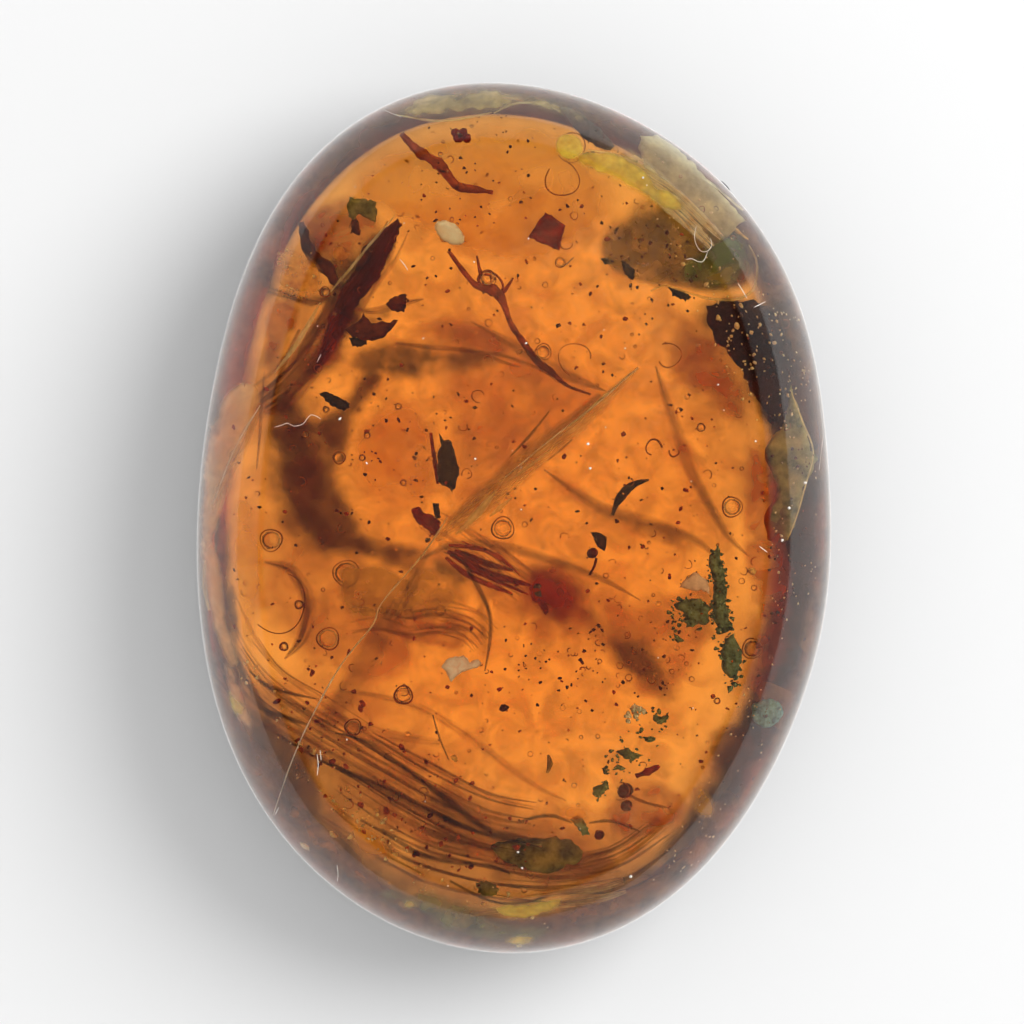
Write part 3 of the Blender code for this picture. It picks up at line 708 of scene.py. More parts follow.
# Where the glow fades out, and where the floor turns from its near-black painted shadow under the pebble to its
# pale tone, in shares of the pebble's reach
GLOW_LIMITS, SHADOW_TONE_LIMITS = (0.97, 0.6), (0.88, 0.98)
MIRRORED_GLOW = 0.5
ROOM_LIGHT = 1.2
# Heights of the room's wall, from the floor's level at 0 to straight up at 1, with the brightness there
ROOM_STOPS = ((0.0, 1.0), (0.27, 0.9), (0.30, 0.12), (0.33, 0.12), (0.37, 0.42), (1.0, 0.45))
FLAG_TONE, FLAG_SCALE = 0.16, 1.012


def grey(value):
    """A grey as a colour."""
    return value, value, value, 1.0


def mirrored_only(tree, path):
    """1 for what the polish mirrors and 0 for what it lets through, which the light path calls glossy too."""
    return maths(tree, 'SUBTRACT', path.outputs["Is Glossy Ray"], path.outputs["Is Transmission Ray"], clamp=True)


def floor_finish():
    """Pale matt floor, lit from below where the pebble rests, and painted near black there as the pebble's
    shadow; the glow shows only through the stone.
    """
    material, tree, shader = new_material("pale_floor", {"Roughness": 0.9, "Specular IOR Level": 0.0,
                                                         "Emission Color": GLOW_TINT})
    place = add_node(tree, "TexCoord")
    scale = (1 / PEBBLE_REACH[0], 1 / PEBBLE_REACH[1], 0.0)
    share = add_node(tree, "VectorMath", {0: place.outputs["Object"], 1: scale}, operation='MULTIPLY')
    reach = add_node(tree, "VectorMath", {0: share.outputs["Vector"]}, operation='LENGTH').outputs["Value"]
    glow = ranged(tree, reach, *GLOW_LIMITS, GLOW)
    # Floor colour: near-black painted shadow under the pebble, pale further out
    tone = add_node(tree, "Mix", {0: ranged(tree, reach, *SHADOW_TONE_LIMITS), 6: grey(UNDER_SHADOW_TONE),
                                  7: grey(FLOOR_TONE)}, data_type='RGBA')
    path = add_node(tree, "LightPath")
    direct = maths(tree, 'LESS_THAN', path.outputs["Diffuse Depth"], 0.5)
    through = maths(tree, 'SUBTRACT', direct, path.outputs["Is Camera Ray"], clamp=True)
    seen = maths(tree, 'MULTIPLY', glow, through)
    strength = maths(tree, 'MULTIPLY_ADD', mirrored_only(tree, path), MIRRORED_GLOW, seen)
    feed(tree, shader, {"Base Color": tone.outputs[2], "Emission Strength": strength})
    return material


def make_room():
    """Soft room: a dim ceiling, and bright walls up to a low height, which the rim mirrors as a pale veil."""
    world = bpy.data.worlds.new("soft_room")
    world.use_nodes = True
    tree = world.node_tree
    way = add_node(tree, "TexCoord")
    split = add_node(tree, "SeparateXYZ", {"Vector": way.outputs["Generated"]})
    ramp = add_node(tree, "ValToRGB", {"Fac": split.outputs["Z"]})
    stops = ramp.color_ramp.elements
    stops.remove(stops[1])
    stops[0].position, stops[0].color = ROOM_STOPS[0][0], grey(ROOM_STOPS[0][1])
    for position, value in ROOM_STOPS[1:]:
        stops.new(position).color = grey(value)
    path = add_node(tree, "LightPath")
    strength = ROOM_LIGHT
    for kind, share in ((path.outputs["Is Diffuse Ray"], 0.5), (path.outputs["Is Transmission Ray"], 0.6),
                        (mirrored_only(tree, path), -0.6)):
        strength = maths(tree, 'MULTIPLY_ADD', kind, share, strength)
    feed(tree, tree.nodes["Background"], {"Color": ramp.outputs["Color"], "Strength": strength})
    bpy.context.scene.world = world


def make_floor():
    """Large pale floor just under the pebble."""
    data = bmesh.new()
    bmesh.ops.create_grid(data, x_segments=1, y_segments=1, size=3.0 / MM)
    floor = new_body("studio_floor", data, floor_finish())
    floor.location.z = -0.05 * MM


def make_flag():
    """Studio flag in the stone's own shape: what the floor sees instead of the stone, so its shadow is grey."""
    material, tree, shader = new_material("flag_cloth", {"Base Color": grey(FLAG_TONE), "Roughness": 1.0})
    side = add_node(tree, "NewGeometry")
    open_side = add_node(tree, "BsdfTransparent")
    cloth = add_node(tree, "MixShader", {0: side.outputs["Backfacing"], 1: shader.outputs[0],
                                         2: open_side.outputs[0]})
    feed(tree, tree.nodes["Material Output"], {"Surface": cloth.outputs[0]})
    data = pebble_mesh(48, 14, 10)
    bmesh.ops.scale(data, vec=(FLAG_SCALE, FLAG_SCALE, FLAG_SCALE), verts=data.verts)
    flag = new_body("studio_flag", data, material)
    flag.location.z = -0.1 * MM
    flag.visible_camera = flag.visible_glossy = flag.visible_transmission = flag.visible_shadow = False


def make_lamp():
    """One large soft lamp from the upper right."""
    lamp = bpy.data.lights.new("soft_key", 'AREA')
    lamp.shape = 'DISK'
    lamp.size = 0.34
    lamp.energy = 1.7
    lamp.cycles.use_multiple_importance_sampling = False
    key = linked("soft_key", lamp)
    key.location = (0.30, 0.15, 0.36)
    key.rotation_euler = (-key.location).to_track_quat('-Z', 'Y').to_euler()


def make_camera():
    """Camera straight above, from far enough to see the pebble as the photograph does."""
    lens = bpy.data.cameras.new("camera")
    lens.lens = CAMERA_LENS
    lens.sensor_width = CAMERA_SENSOR
    lens.clip_start = 0.01
    lens.clip_end = 20.0
    camera = linked("camera", lens)
    distance = FRAME_PIXELS * PIXEL * CAMERA_LENS / CAMERA_SENSOR
    camera.location = Vector((*seen_at(*FRAME_CENTRE), GIRDLE_HEIGHT + distance)) * MM
    scene = bpy.context.scene
    scene.camera = camera
    scene.view_settings.view_transform = 'Standard'
    for setting, value in {"max_bounces": 24, "transmission_bounces": 20, "glossy_bounces": 3,
                           "diffuse_bounces": 2, "transparent_max_bounces": 48, "sample_clamp_indirect": 6.0,
                           "use_adaptive_sampling": True, "adaptive_threshold": 0.1}.items():
        setattr(scene.cycles, setting, value)


def make_studio():
    """Floor, room, flag, lamp and camera."""
    make_floor()
    make_room()
    make_flag()
    make_lamp()
    make_camera()


# Finishes of the sealed pieces, the clouds and the dust

FIN = {
    "charcoal": mottled_finish("charcoal_matt", (0.004, 0.005, 0.004), (0.035, 0.036, 0.03), 2600, 2.6, 0.5,
            0.05),
    "charcoal_gloss": mottled_finish("charcoal_glossy", (0.004, 0.004, 0.006), (0.10, 0.12, 0.2), 1500, 4.0,
            0.15, 0.05, 0.8),
    "red_bark": mottled_finish("bark_red_brown", (0.09, 0.014, 0.004), (0.52, 0.13, 0.04), 1800, 2.4, 0.5,
            0.05),
    "flake_red": mottled_finish("bark_deep_red", (0.09, 0.005, 0.003), (0.38, 0.03, 0.012), 2200, 2.6, 0.45,
            0.04),
    "dark_bark": mottled_finish("bark_dark", (0.012, 0.006, 0.003), (0.10, 0.045, 0.018), 1400, 2.8, 0.6,
            0.06),
    "slate_bark": mottled_finish("bark_slate", (0.02, 0.02, 0.016), (0.13, 0.13, 0.11), 1500, 2.6, 0.55, 0.04),
    "brown_leaf": mottled_finish("leaf_dark_brown", (0.02, 0.005, 0.002), (0.16, 0.04, 0.012), 1700, 2.6, 0.6,
            0.04),
    "black_leaf": mottled_finish("leaf_charred", (0.004, 0.003, 0.002), (0.05, 0.035, 0.02), 2400, 2.6, 0.55,
            0.04),
    "olive_leaf": mottled_finish("leaf_olive", (0.04, 0.06, 0.03), (0.30, 0.38, 0.22), 1600, 2.8, 0.6, 0.04),
    "green_leaf": mottled_finish("leaf_grey_green", (0.05, 0.08, 0.03), (0.50, 0.52, 0.24), 1100, 2.4, 0.5,
            0.05),
    "straw": mottled_finish("bark_straw", (0.28, 0.25, 0.09), (0.80, 0.76, 0.40), 900, 1.8, 0.4, 0.05),
    "gold": mottled_finish("sliver_golden", (0.6, 0.3, 0.03), (1.0, 0.85, 0.25), 2000, 2.4, 0.25, 0.03, 0.6),
    "moss": mottled_finish("moss_grey_green", (0.025, 0.08, 0.10), (0.26, 0.60, 0.80), 2600, 3.0, 0.85, 0.06),
    "cream": mottled_finish("pith_cream", (0.92, 0.62, 0.28), (1.0, 0.92, 0.62), 1400, 2.2, 0.5, 0.03),
    "peach": mottled_finish("pith_peach", (0.55, 0.33, 0.22), (1.0, 0.75, 0.55), 1700, 2.4, 0.5, 0.03),
    "shell": mottled_finish("shell_pale", (0.85, 0.58, 0.45), (1.0, 1.0, 0.95), 1900, 2.6, 0.4, 0.04),
    "mineral": mottled_finish("mineral_whitish", (0.45, 0.5, 0.38), (1.0, 1.0, 0.92), 2600, 3.0, 0.3, 0.04),
    "seed": mottled_finish("seed_coat_dark", (0.03, 0.005, 0.003), (0.20, 0.03, 0.015), 2000, 2.4, 0.35, 0.03),
    "speck_dark": mottled_finish("crumb_dark_brown", (0.01, 0.004, 0.002), (0.12, 0.03, 0.01), 2500, 2.6, 0.6,
            0.03),
    # Straw-gold crumbs, in part painted glints
    "speck_pale": mottled_finish("crumb_straw_gold_and_glint", (0.5, 0.3, 0.08), (1.0, 0.95, 0.6), 2500, 2.6, 0.4, 0.03),
    "speck_rust": mottled_finish("crumb_rust", (0.18, 0.03, 0.008), (0.5, 0.12, 0.03), 2500, 2.6, 0.5, 0.03),
    # Brown outlines of bubbles: painted shade of their dark rims
    "ring": mottled_finish("bubble_rim_painted_shade", (0.10, 0.025, 0.006), (0.40, 0.13, 0.03), 1500, 2.0, 0.5,
            0.01),
    # Pale hairline cracks: their paleness is a painted reflection of the crack faces
    "crack": mottled_finish("crack_pale_painted_reflection", (0.55, 0.45, 0.3), (1.0, 0.95, 0.85), 1800, 2.0, 0.4, 0.02),
    "dust": mottled_finish("textile_dust", (0.62, 0.58, 0.5), (0.95, 0.93, 0.88), 1800, 2.0, 0.8, 0.01),
    "wood_fibre": mottled_finish("wood_fibre_red", (0.20, 0.035, 0.010), (0.62, 0.16, 0.05), 2200, 2.6, 0.45,
            0.05),
    "brown_film": film_finish("cloud_smoky_brown", (0.042, 0.015, 0.002), (0.20, 0.062, 0.009), 420, 0.80, 0.7,
            0.35),
    "dark_film": film_finish("cloud_smoky_black", (0.010, 0.005, 0.001), (0.08, 0.024, 0.006), 520, 0.90, 0.7,
            0.3),
    "red_film": film_finish("cloud_red", (0.16, 0.016, 0.002), (0.58, 0.085, 0.010), 420, 0.78, 0.8, 0.4),
    "wash_film": film_finish("cloud_rust_wash", (0.30, 0.035, 0.003), (0.85, 0.16, 0.014), 260, 0.58, 0.7,
            0.5),
    "sun_film": film_finish("cloud_yellow_wash", (0.80, 0.38, 0.006), (1.0, 0.70, 0.04), 260, 0.60, 0.7, 0.4),
    "haze_film": film_finish("haze_red_grain", (0.14, 0.02, 0.003), (0.8, 0.14, 0.02), 1500, 0.36, 0.5, 1.0,
            420, 4.0),
    "olive_film": film_finish("cloud_olive", (0.20, 0.15, 0.03), (0.62, 0.50, 0.14), 480, 0.75, 0.7, 0.4),
    "green_film": film_finish("cloud_green", (0.03, 0.07, 0.02), (0.20, 0.32, 0.09), 520, 0.86, 0.6, 0.3),
    "mauve_film": film_finish("cloud_mauve_brown", (0.05, 0.025, 0.016), (0.28, 0.16, 0.11), 900, 0.72, 0.6,
            0.5),
    # Browned band round the rim: painted shade of the rim
    "rim_shade_film": film_finish("rim_shade_browned", (0.040, 0.024, 0.007), (0.34, 0.22, 0.08), 800, 0.96, 0.4, 0.15,
            350),
    # Bright golden flecks near the polish: painted glints
    "glint_film": film_finish("golden_glint_painted", (0.70, 0.36, 0.02), (1.0, 0.80, 0.10), 1300, 0.92, 0.7, 0.3,
            520),
    # Olive-straw film near the polish: painted sheen on the top rim, the olive lobe and the straw sheet
    "sheen_film": film_finish("olive_straw_painted_sheen", (0.22, 0.17, 0.03), (0.85, 0.72, 0.28), 700, 0.8, 0.6, 0.35),
    # Near-white straw band at the left rim: painted glow and sheen for the bright surroundings that the rim
    # mirrors
    "rim_glow_film": film_finish("edge_glow_straw", (1.0, 0.70, 0.36), (1.0, 0.96, 0.78), 500, 0.92, 0.5, 0.25),
    # Pale fracture sheet at the left rim, its white-golden look a painted sheen
    "pale_film": film_finish("fracture_and_painted_sheen", (0.35, 0.24, 0.14), (1.0, 0.85, 0.6), 800, 0.55, 0.6, 0.5),
    "veil_film": film_finish("crack_veil", (0.25, 0.16, 0.09), (0.65, 0.48, 0.32), 700, 0.42, 0.5, 0.4),
    # Deep red smudge round the glossy chip: painted shadow of the chip
    "chip_shadow_film": film_finish("chip_shadow_deep_red", (0.05, 0.004, 0.001), (0.20, 0.018, 0.002), 500, 0.86, 0.9,
            0.3),
    # Dark umber veil along the rim: painted shade of the rim
    "rim_shade_umber_film": film_finish("rim_shade_dark_umber", (0.016, 0.007, 0.003), (0.15, 0.07, 0.035), 700, 0.88, 0.7,
            0.4, 300),
    "rose_film": film_finish("cloud_rose_brown", (0.26, 0.05, 0.014), (0.85, 0.28, 0.11), 700, 0.50, 0.7, 0.5,
            300, 3.0),
    "milk_film": film_finish("haze_milky", (0.7, 0.5, 0.4), (1.0, 0.9, 0.85), 500, 0.09, 0.5, 0.6),
    "lens_film": film_finish("lens_olive_deep", (0.05, 0.055, 0.010), (0.34, 0.32, 0.09), 600, 0.80, 0.7, 0.3),
    "crack_film": film_finish("crack_olive_sheen", (0.30, 0.18, 0.03), (0.95, 0.66, 0.22), 1400, 0.50, 0.7,
            0.6, 500),
    "grain_film": film_finish("cloud_amber_grain", (0.50, 0.18, 0.02), (1.0, 0.62, 0.13), 1500, 0.75, 0.7, 0.4,
            500, 3.0),
    "rim_film": film_finish("rim_golden_brown", (0.06, 0.03, 0.010), (0.60, 0.34, 0.12), 900, 0.78, 0.7, 0.4,
            400, 3.0),
    "soft_smoke": film_finish("cloud_thin_smoke", (0.06, 0.020, 0.003), (0.22, 0.066, 0.008), 420, 0.62, 0.7,
            0.5),
    "flow_rust": band_finish("flow_line_rust", (0.12, 0.020, 0.003), (0.48, 0.09, 0.016), 900, 0.52, 0.6, 2.2,
            0.6),
    "flow_red": band_finish("flow_line_red", (0.05, 0.006, 0.001), (0.24, 0.030, 0.005), 900, 0.80, 0.7, 2.2,
            0.6),
    "flow_dark": band_finish("flow_line_dark", (0.01, 0.004, 0.002), (0.08, 0.018, 0.006), 900, 0.95, 0.7, 1.5,
            0.35),
    "smoke_band": band_finish("smoke_band_brown", (0.04, 0.012, 0.004), (0.16, 0.05, 0.014), 500, 0.66, 0.35,
            1.2, 0.35),
    # Golden streaks on crack faces and along the rims: their brightness is a painted glint
    "crack_and_glint_band": band_finish("crack_golden_glint", (0.62, 0.30, 0.06), (1.0, 0.84, 0.42), 1600, 0.85, 0.5, 7.0, 0.7,
            0.3),
    # Pale thin lines: a pale needle and spear, and painted glints along crack, lens and sheet edges
    "pale_line_and_glint": band_finish("pale_streak_and_glint", (0.6, 0.5, 0.15), (1.0, 0.95, 0.6), 1800, 0.9, 1.5, 1.0, 0.45,
            0.4),
    "void": clear_finish("bubble_void", 1.33),
}


def make_twigs():
    """Twigs, needle, thorn and the spread of red wood fibres."""
    main = [(449, 252, 1.6), (462, 270, 2.2), (476, 286, 3.2), (489, 289, 5.6), (500, 297, 4.6), (506, 311, 2.8),
            (511, 325, 2.6), (523, 343, 3.0), (537, 362, 3.6), (549, 371, 3.4), (560, 381, 2.0), (570, 388, 1.6),
            (590, 395, 1.0)]
    bud = [(487, 292, 2.4), (484, 283, 2.2), (480, 272, 1.8), (477, 257, 1.0)]
    fork = [(500, 297, 2.4), (508, 287, 1.8), (513, 279, 1.0)]
    curl = [(484, 290, 1.3), (478, 280, 1.1), (485, 272, 1.0), (496, 276, 1.0), (503, 286, 1.1), (500, 297, 1.3)]
    add_stems("twig_main", [main, bud, fork, curl], FIN["red_bark"], ("twig_long",), seed=2)
    top = [(402, 135, 2.2), (411, 145, 3.2), (421, 154, 4.6), (431, 160, 5.2), (441, 167, 5.4), (450, 179, 4.4),
           (459, 188, 4.0), (477, 191, 3.0), (493, 194, 1.5)]
    add_stems("twig_top", [top], FIN["red_bark"], ("twig_short",), knots=0.25, seed=3)
    add_stems("needle_red", [[(431, 433, 1.2), (434, 455, 2.0), (437, 473, 2.0), (438, 484, 1.2)]],
              FIN["flake_red"], ("bark_needle",), lift=-0.75, seed=4)
    add_stems("thorn_dark", [[(612, 515, 1.4), (616, 504, 3.0), (621, 496, 4.4), (628, 488, 4.2), (637, 483, 3.0),
                              (648, 480, 0.9)]], FIN["charcoal"], ("thorn",), knots=0.08, seed=5)
    fibres = {
        "wood_fibre_top": (0.5, [[(449, 545, 1.2), (472, 547, 2.4), (490, 552, 2.4), (512, 567, 1.2)],
                                 [(462, 541, 0.8), (480, 549, 1.4), (500, 556, 1.4), (520, 575, 0.8)]]),
        "wood_fibre_upper": (0.0, [[(455, 550, 1.6), (470, 556, 3.0), (487, 563, 3.4), (513, 570, 1.6)]]),
        "wood_fibre_middle": (-0.7, [[(448, 551, 1.8), (458, 557, 3.6), (470, 563, 4.4), (490, 574, 4.2),
                                      (513, 580, 3.0), (537, 587, 1.0)],
                                     [(470, 570, 1.2), (500, 582, 2.0), (528, 594, 0.9)]]),
        "wood_fibre_lower": (0.3, [[(446, 557, 1.4), (460, 569, 2.8), (475, 578, 3.0), (494, 586, 2.6),
                                    (512, 593, 1.2)]]),
    }
    for number, (node, (lift, paths)) in enumerate(fibres.items()):
        add_stems(node + "_spread", paths, FIN["wood_fibre"], (node,), lift=lift, sides=7,
                  seed=6 + number)


# Mesh of the scraps: steps along the longest way across, bevel in millimetres, share of the fraying stated
SCRAP_STEPS = 14
SCRAP_BEVEL = 0.12
SCRAP_FRAYING = 0.6

SCRAPS = (
    # piece, node, finish, slot, lift, thickness, fraying in pixels, corners in pixels
    ("splinter_black", "charcoal_splinter_large", "charcoal", "charcoal", 0.0, 0.5, 1.6, [(439, 433),
     (442, 437), (444, 440), (449, 440), (452, 442), (454, 450), (457, 459), (459, 468), (459, 475),
     (457, 482), (455, 488), (452, 494), (450, 489), (447, 487), (443, 485), (439, 481), (438, 472),
     (439, 462), (438, 453), (441, 446)]),
    ("splinter_left", "charcoal_splinter_small", "charcoal", "charcoal", 0.0, 0.35, 1.2, [(320, 394),
     (324, 392), (328, 393), (337, 396), (344, 400), (350, 404), (350, 408), (345, 411), (338, 409),
     (331, 405), (326, 401)]),
    ("chip_glossy", "charcoal_chip_glossy", "charcoal_gloss", "glossy_charcoal", 0.0, 0.35, 0.8, [(529, 588),
     (533, 583), (538, 582), (543, 584), (543, 591), (545, 598), (548, 606), (549, 612), (545, 615),
     (541, 609), (538, 603), (532, 601)]),
    ("chip_black", "charcoal_chip_small", "charcoal", "charcoal", 0.45, 0.25, 0.8, [(433, 503), (439, 503),
     (440, 510), (441, 518), (436, 519), (434, 511)]),
    ("crumb_upper", "charcoal_crumb_upper", "charcoal", "charcoal", 0.0, 0.3, 1.4, [(620, 262), (624, 262),
     (628, 266), (634, 270), (634, 277), (632, 282), (628, 279), (624, 275), (622, 268)]),
    ("crumb_left", "charcoal_crumb_left", "charcoal", "charcoal", 0.0, 0.25, 1.2, [(600, 260), (606, 259),
     (612, 260), (616, 264), (611, 266), (605, 266)]),
    ("crumb_right", "charcoal_crumb_right", "charcoal", "charcoal", 0.0, 0.3, 1.6, [(668, 288), (674, 289),
     (680, 291), (686, 294), (691, 299), (685, 302), (678, 299), (672, 297)]),
    ("flake_deep_red", "bark_flake_red", "flake_red", "red_bark", 0.0, 0.2, 1.2, [(545, 214), (554, 219),
     (565, 227), (562, 240), (559, 252), (545, 246), (528, 238), (536, 226)]),
    ("wedge_dark", "bark_wedge", "dark_bark", "dark_bark", 0.0, 0.25, 0.8, [(590, 532), (598, 532), (606, 537),
     (606, 544), (604, 551), (600, 549), (596, 545), (593, 538)]),
    ("wedge_rust", "bark_wedge_rust", "flake_red", "red_bark", -0.25, 0.3, 1.6, [(412, 508), (419, 506),
     (424, 512), (430, 514), (437, 518), (441, 523), (440, 530), (438, 536), (432, 535), (427, 529),
     (420, 524), (415, 519), (413, 515)]),
    ("sheet_black", "bark_sheet_dark", "dark_bark", "dark_bark", -0.3, 0.45, 3.5, [(706, 308), (716, 303),
     (728, 299), (740, 303), (752, 302), (766, 308), (777, 316), (784, 330), (790, 348), (788, 370),
     (786, 392), (779, 412), (772, 430), (766, 416), (758, 404), (748, 386), (737, 366), (724, 350),
     (712, 337), (706, 322)]),
    ("scrap_slate", "bark_scrap_slate", "slate_bark", "slate_bark", 0.0, 0.25, 2.0, [(560, 108), (567, 109),
     (575, 112), (588, 121), (600, 130), (608, 139), (615, 148), (610, 152), (604, 152), (596, 147),
     (588, 143), (578, 134), (570, 126)]),
    ("sheet_straw", "bark_sheet_straw", "straw", "straw_bark", 0.35, 0.3, 2.6, [(640, 136), (652, 136),
     (664, 142), (676, 151), (687, 161), (697, 170), (706, 179), (714, 187), (722, 196), (731, 205),
     (738, 214), (745, 222), (735, 227), (728, 238), (721, 245), (716, 236), (706, 225), (698, 217),
     (690, 209), (681, 202), (672, 195), (663, 187), (655, 179), (647, 172), (642, 165), (638, 150)]),
    ("scrap_long", "leaf_scrap_long", "brown_leaf", "brown_leaf", -0.55, 0.3, 2.4, [(399, 219), (402, 226),
     (399, 234), (394, 246), (388, 258), (384, 270), (378, 281), (371, 290), (364, 297), (358, 305),
     (352, 313), (347, 324), (343, 335), (337, 346), (330, 356), (320, 368), (311, 378), (314, 368),
     (318, 358), (323, 346), (326, 335), (327, 324), (331, 314), (337, 302), (341, 292), (346, 284),
     (352, 275), (357, 266), (360, 256), (364, 248), (371, 242), (379, 236), (385, 230), (392, 225)]),
    ("scrap_side", "leaf_scrap_side", "brown_leaf", "brown_leaf", 0.3, 0.25, 2.0, [(299, 224), (305, 222),
     (309, 232), (312, 243), (317, 251), (322, 258), (331, 262), (337, 272), (341, 286), (336, 290),
     (331, 284), (328, 278), (320, 272), (313, 268), (307, 259), (303, 250), (301, 238)]),
    ("scrap_torn", "leaf_scrap_torn", "brown_leaf", "brown_leaf", 0.4, 0.25, 2.0, [(345, 330), (349, 335),
     (353, 338), (361, 340), (369, 342), (376, 341), (383, 338), (388, 334), (393, 328), (398, 320),
     (391, 323), (383, 322), (377, 325), (372, 324), (368, 320), (365, 314), (362, 318), (359, 322),
     (352, 325)]),
    ("scrap_base", "leaf_scrap_base", "black_leaf", "black_leaf", 0.0, 0.3, 1.2, [(349, 338), (360, 338),
     (368, 340), (367, 345), (361, 348), (353, 347)]),
    ("flake_brown", "leaf_flake_brown", "brown_leaf", "brown_leaf", 0.0, 0.2, 1.4, [(387, 305), (390, 301),
     (394, 298), (401, 296), (407, 295), (407, 304), (405, 312), (397, 313), (391, 310)]),
    ("patch_olive", "leaf_patch_olive", "olive_leaf", "olive_leaf", 0.2, 0.2, 2.2, [(350, 198), (358, 200),
     (366, 200), (376, 203), (378, 213), (376, 223), (369, 221), (364, 217), (358, 215), (354, 222),
     (349, 218), (347, 208)]),
    ("wedge_brown", "leaf_wedge_dark", "brown_leaf", "brown_leaf", 0.15, 0.2, 1.2, [(353, 216), (359, 223),
     (361, 230), (360, 237), (356, 236), (352, 232), (351, 224)]),
    ("leaf_right", "leaf_scrap_green", "green_leaf", "green_leaf", 0.45, 0.25, 2.0, [(789, 386), (793, 398),
     (798, 411), (802, 423), (806, 437), (810, 450), (816, 459), (812, 470), (804, 483), (799, 498),
     (796, 513), (793, 526), (789, 536), (781, 543), (773, 543), (767, 539), (764, 528), (763, 516),
     (768, 508), (774, 500), (776, 492), (774, 483), (769, 472), (765, 461), (764, 449), (770, 439),
     (776, 433), (781, 427), (785, 416), (787, 402)]),
    ("leaf_bottom", "leaf_scrap_bottom", "olive_leaf", "olive_leaf", 0.0, 0.25, 3.0, [(491, 846), (499, 841),
     (510, 838), (524, 838), (540, 836), (556, 837), (570, 840), (579, 844), (584, 851), (577, 861),
     (562, 866), (548, 871), (533, 869), (520, 866), (507, 862), (498, 856)]),
    ("leaf_crumb", "leaf_crumb_bottom", "olive_leaf", "olive_leaf", 0.0, 0.2, 1.8, [(476, 882), (482, 880),
     (488, 880), (495, 883), (499, 888), (496, 893), (492, 896), (485, 895), (479, 892)]),
    ("leaf_grey", "leaf_patch_grey", "moss", "green_leaf", 0.0, 0.2, 2.0, [(752, 703), (760, 699), (768, 698),
     (776, 701), (782, 706), (781, 715), (778, 722), (770, 726), (762, 727), (755, 722), (750, 716)]),
    ("moss_upper", "moss_strand_upper", "moss", "moss", 0.0, 0.45, 2.2, [(717, 544), (720, 550), (720, 558),
     (724, 570), (725, 580), (726, 589), (725, 600), (726, 609), (729, 619), (732, 628), (727, 631),
     (722, 633), (718, 626), (713, 619), (713, 610), (712, 602), (714, 592), (713, 582), (710, 574),
     (708, 566), (709, 555), (714, 552)]),
    ("moss_lower", "moss_strand_lower", "moss", "moss", 0.0, 0.45, 2.2, [(733, 633), (737, 641), (740, 647),
     (741, 655), (739, 663), (737, 672), (735, 680), (729, 677), (723, 673), (721, 662), (720, 651),
     (722, 645), (724, 639)]),
    ("moss_end", "moss_tail", "moss", "moss", 0.0, 0.2, 1.0, [(726, 686), (733, 684), (732, 689), (728, 693)]),
    ("moss_left", "moss_patch", "moss", "moss", -0.1, 0.35, 2.6, [(673, 604), (680, 600), (688, 599),
     (700, 599), (707, 603), (711, 608), (707, 613), (708, 620), (704, 625), (695, 625), (686, 627),
     (684, 619), (684, 612), (677, 609)]),
    ("moss_bit", "moss_crumb_patch", "moss", "moss", 0.0, 0.2, 1.2, [(673, 633), (679, 636), (684, 641),
     (678, 642), (674, 639)]),
    ("moss_bit_1", "moss_crumb_1", "moss", "moss", 0.0, 0.25, 1.4, [(653, 714), (657, 712), (658, 716),
     (664, 715), (668, 711), (668, 717), (665, 722), (658, 724), (653, 719)]),
    ("moss_bit_2", "moss_crumb_2", "moss", "moss", 0.0, 0.25, 1.2, [(643, 737), (650, 735), (656, 737),
     (653, 741), (646, 741)]),
    ("moss_bit_3", "moss_crumb_3", "moss", "moss", 0.0, 0.25, 1.4, [(615, 751), (621, 749), (627, 746),
     (632, 752), (643, 754), (638, 757), (633, 760), (624, 757)]),
    ("moss_bit_4", "moss_crumb_4", "moss", "moss", 0.0, 0.25, 1.0, [(612, 769), (617, 763), (626, 768),
     (618, 769)]),
    ("moss_bit_5", "moss_crumb_5", "moss", "moss", 0.0, 0.25, 1.2, [(592, 793), (593, 787), (600, 784),
     (606, 779), (609, 785), (604, 792), (598, 798)]),
    ("moss_bit_6", "moss_crumb_6", "moss", "moss", 0.0, 0.25, 1.2, [(570, 819), (576, 815), (582, 817),
     (588, 827), (589, 834), (582, 834), (577, 826)]),
    ("pith_cream", "pith_flake_cream", "cream", "pale_pith", 4.4, 0.24, 0.6, [(435, 229), (438, 224),
     (446, 223), (454, 226), (460, 231), (465, 239), (465, 245), (460, 248), (452, 247), (444, 243),
     (438, 237)]),
    ("pith_peach", "pith_flake_peach", "peach", "peach_pith", 3.9, 0.2, 1.4, [(678, 587), (682, 580),
     (688, 576), (694, 571), (701, 576), (707, 582), (708, 594), (704, 591), (700, 590), (692, 590),
     (685, 588)]),
    ("shell_bird", "shell_chip_pale", "shell", "shell_chip", 5.2, 0.25, 1.0, [(442, 666), (445, 661),
     (448, 657), (456, 655), (464, 654), (468, 657), (470, 661), (474, 659), (478, 658), (482, 662),
     (477, 666), (469, 668), (460, 672), (456, 676), (452, 680), (449, 675), (447, 670)]),
)


def make_scraps():
    """Charcoal, bark, leaf, moss and pale scraps, each in place of its plain solid."""
    for seed, (name, node, finish, slot, lift, thick, frayed, corners) in enumerate(SCRAPS, start=11):
        longest = max(math.dist(a, b) for a in corners for b in corners)
        step = min(max(longest / SCRAP_STEPS, 1.6), 5.0)
        bevel = SCRAP_BEVEL * min(1.0, longest * PIXEL)
        add_scrap(name, corners, FIN[finish], (node,), lift, thick, step, bevel, frayed * SCRAP_FRAYING,
                  seed)


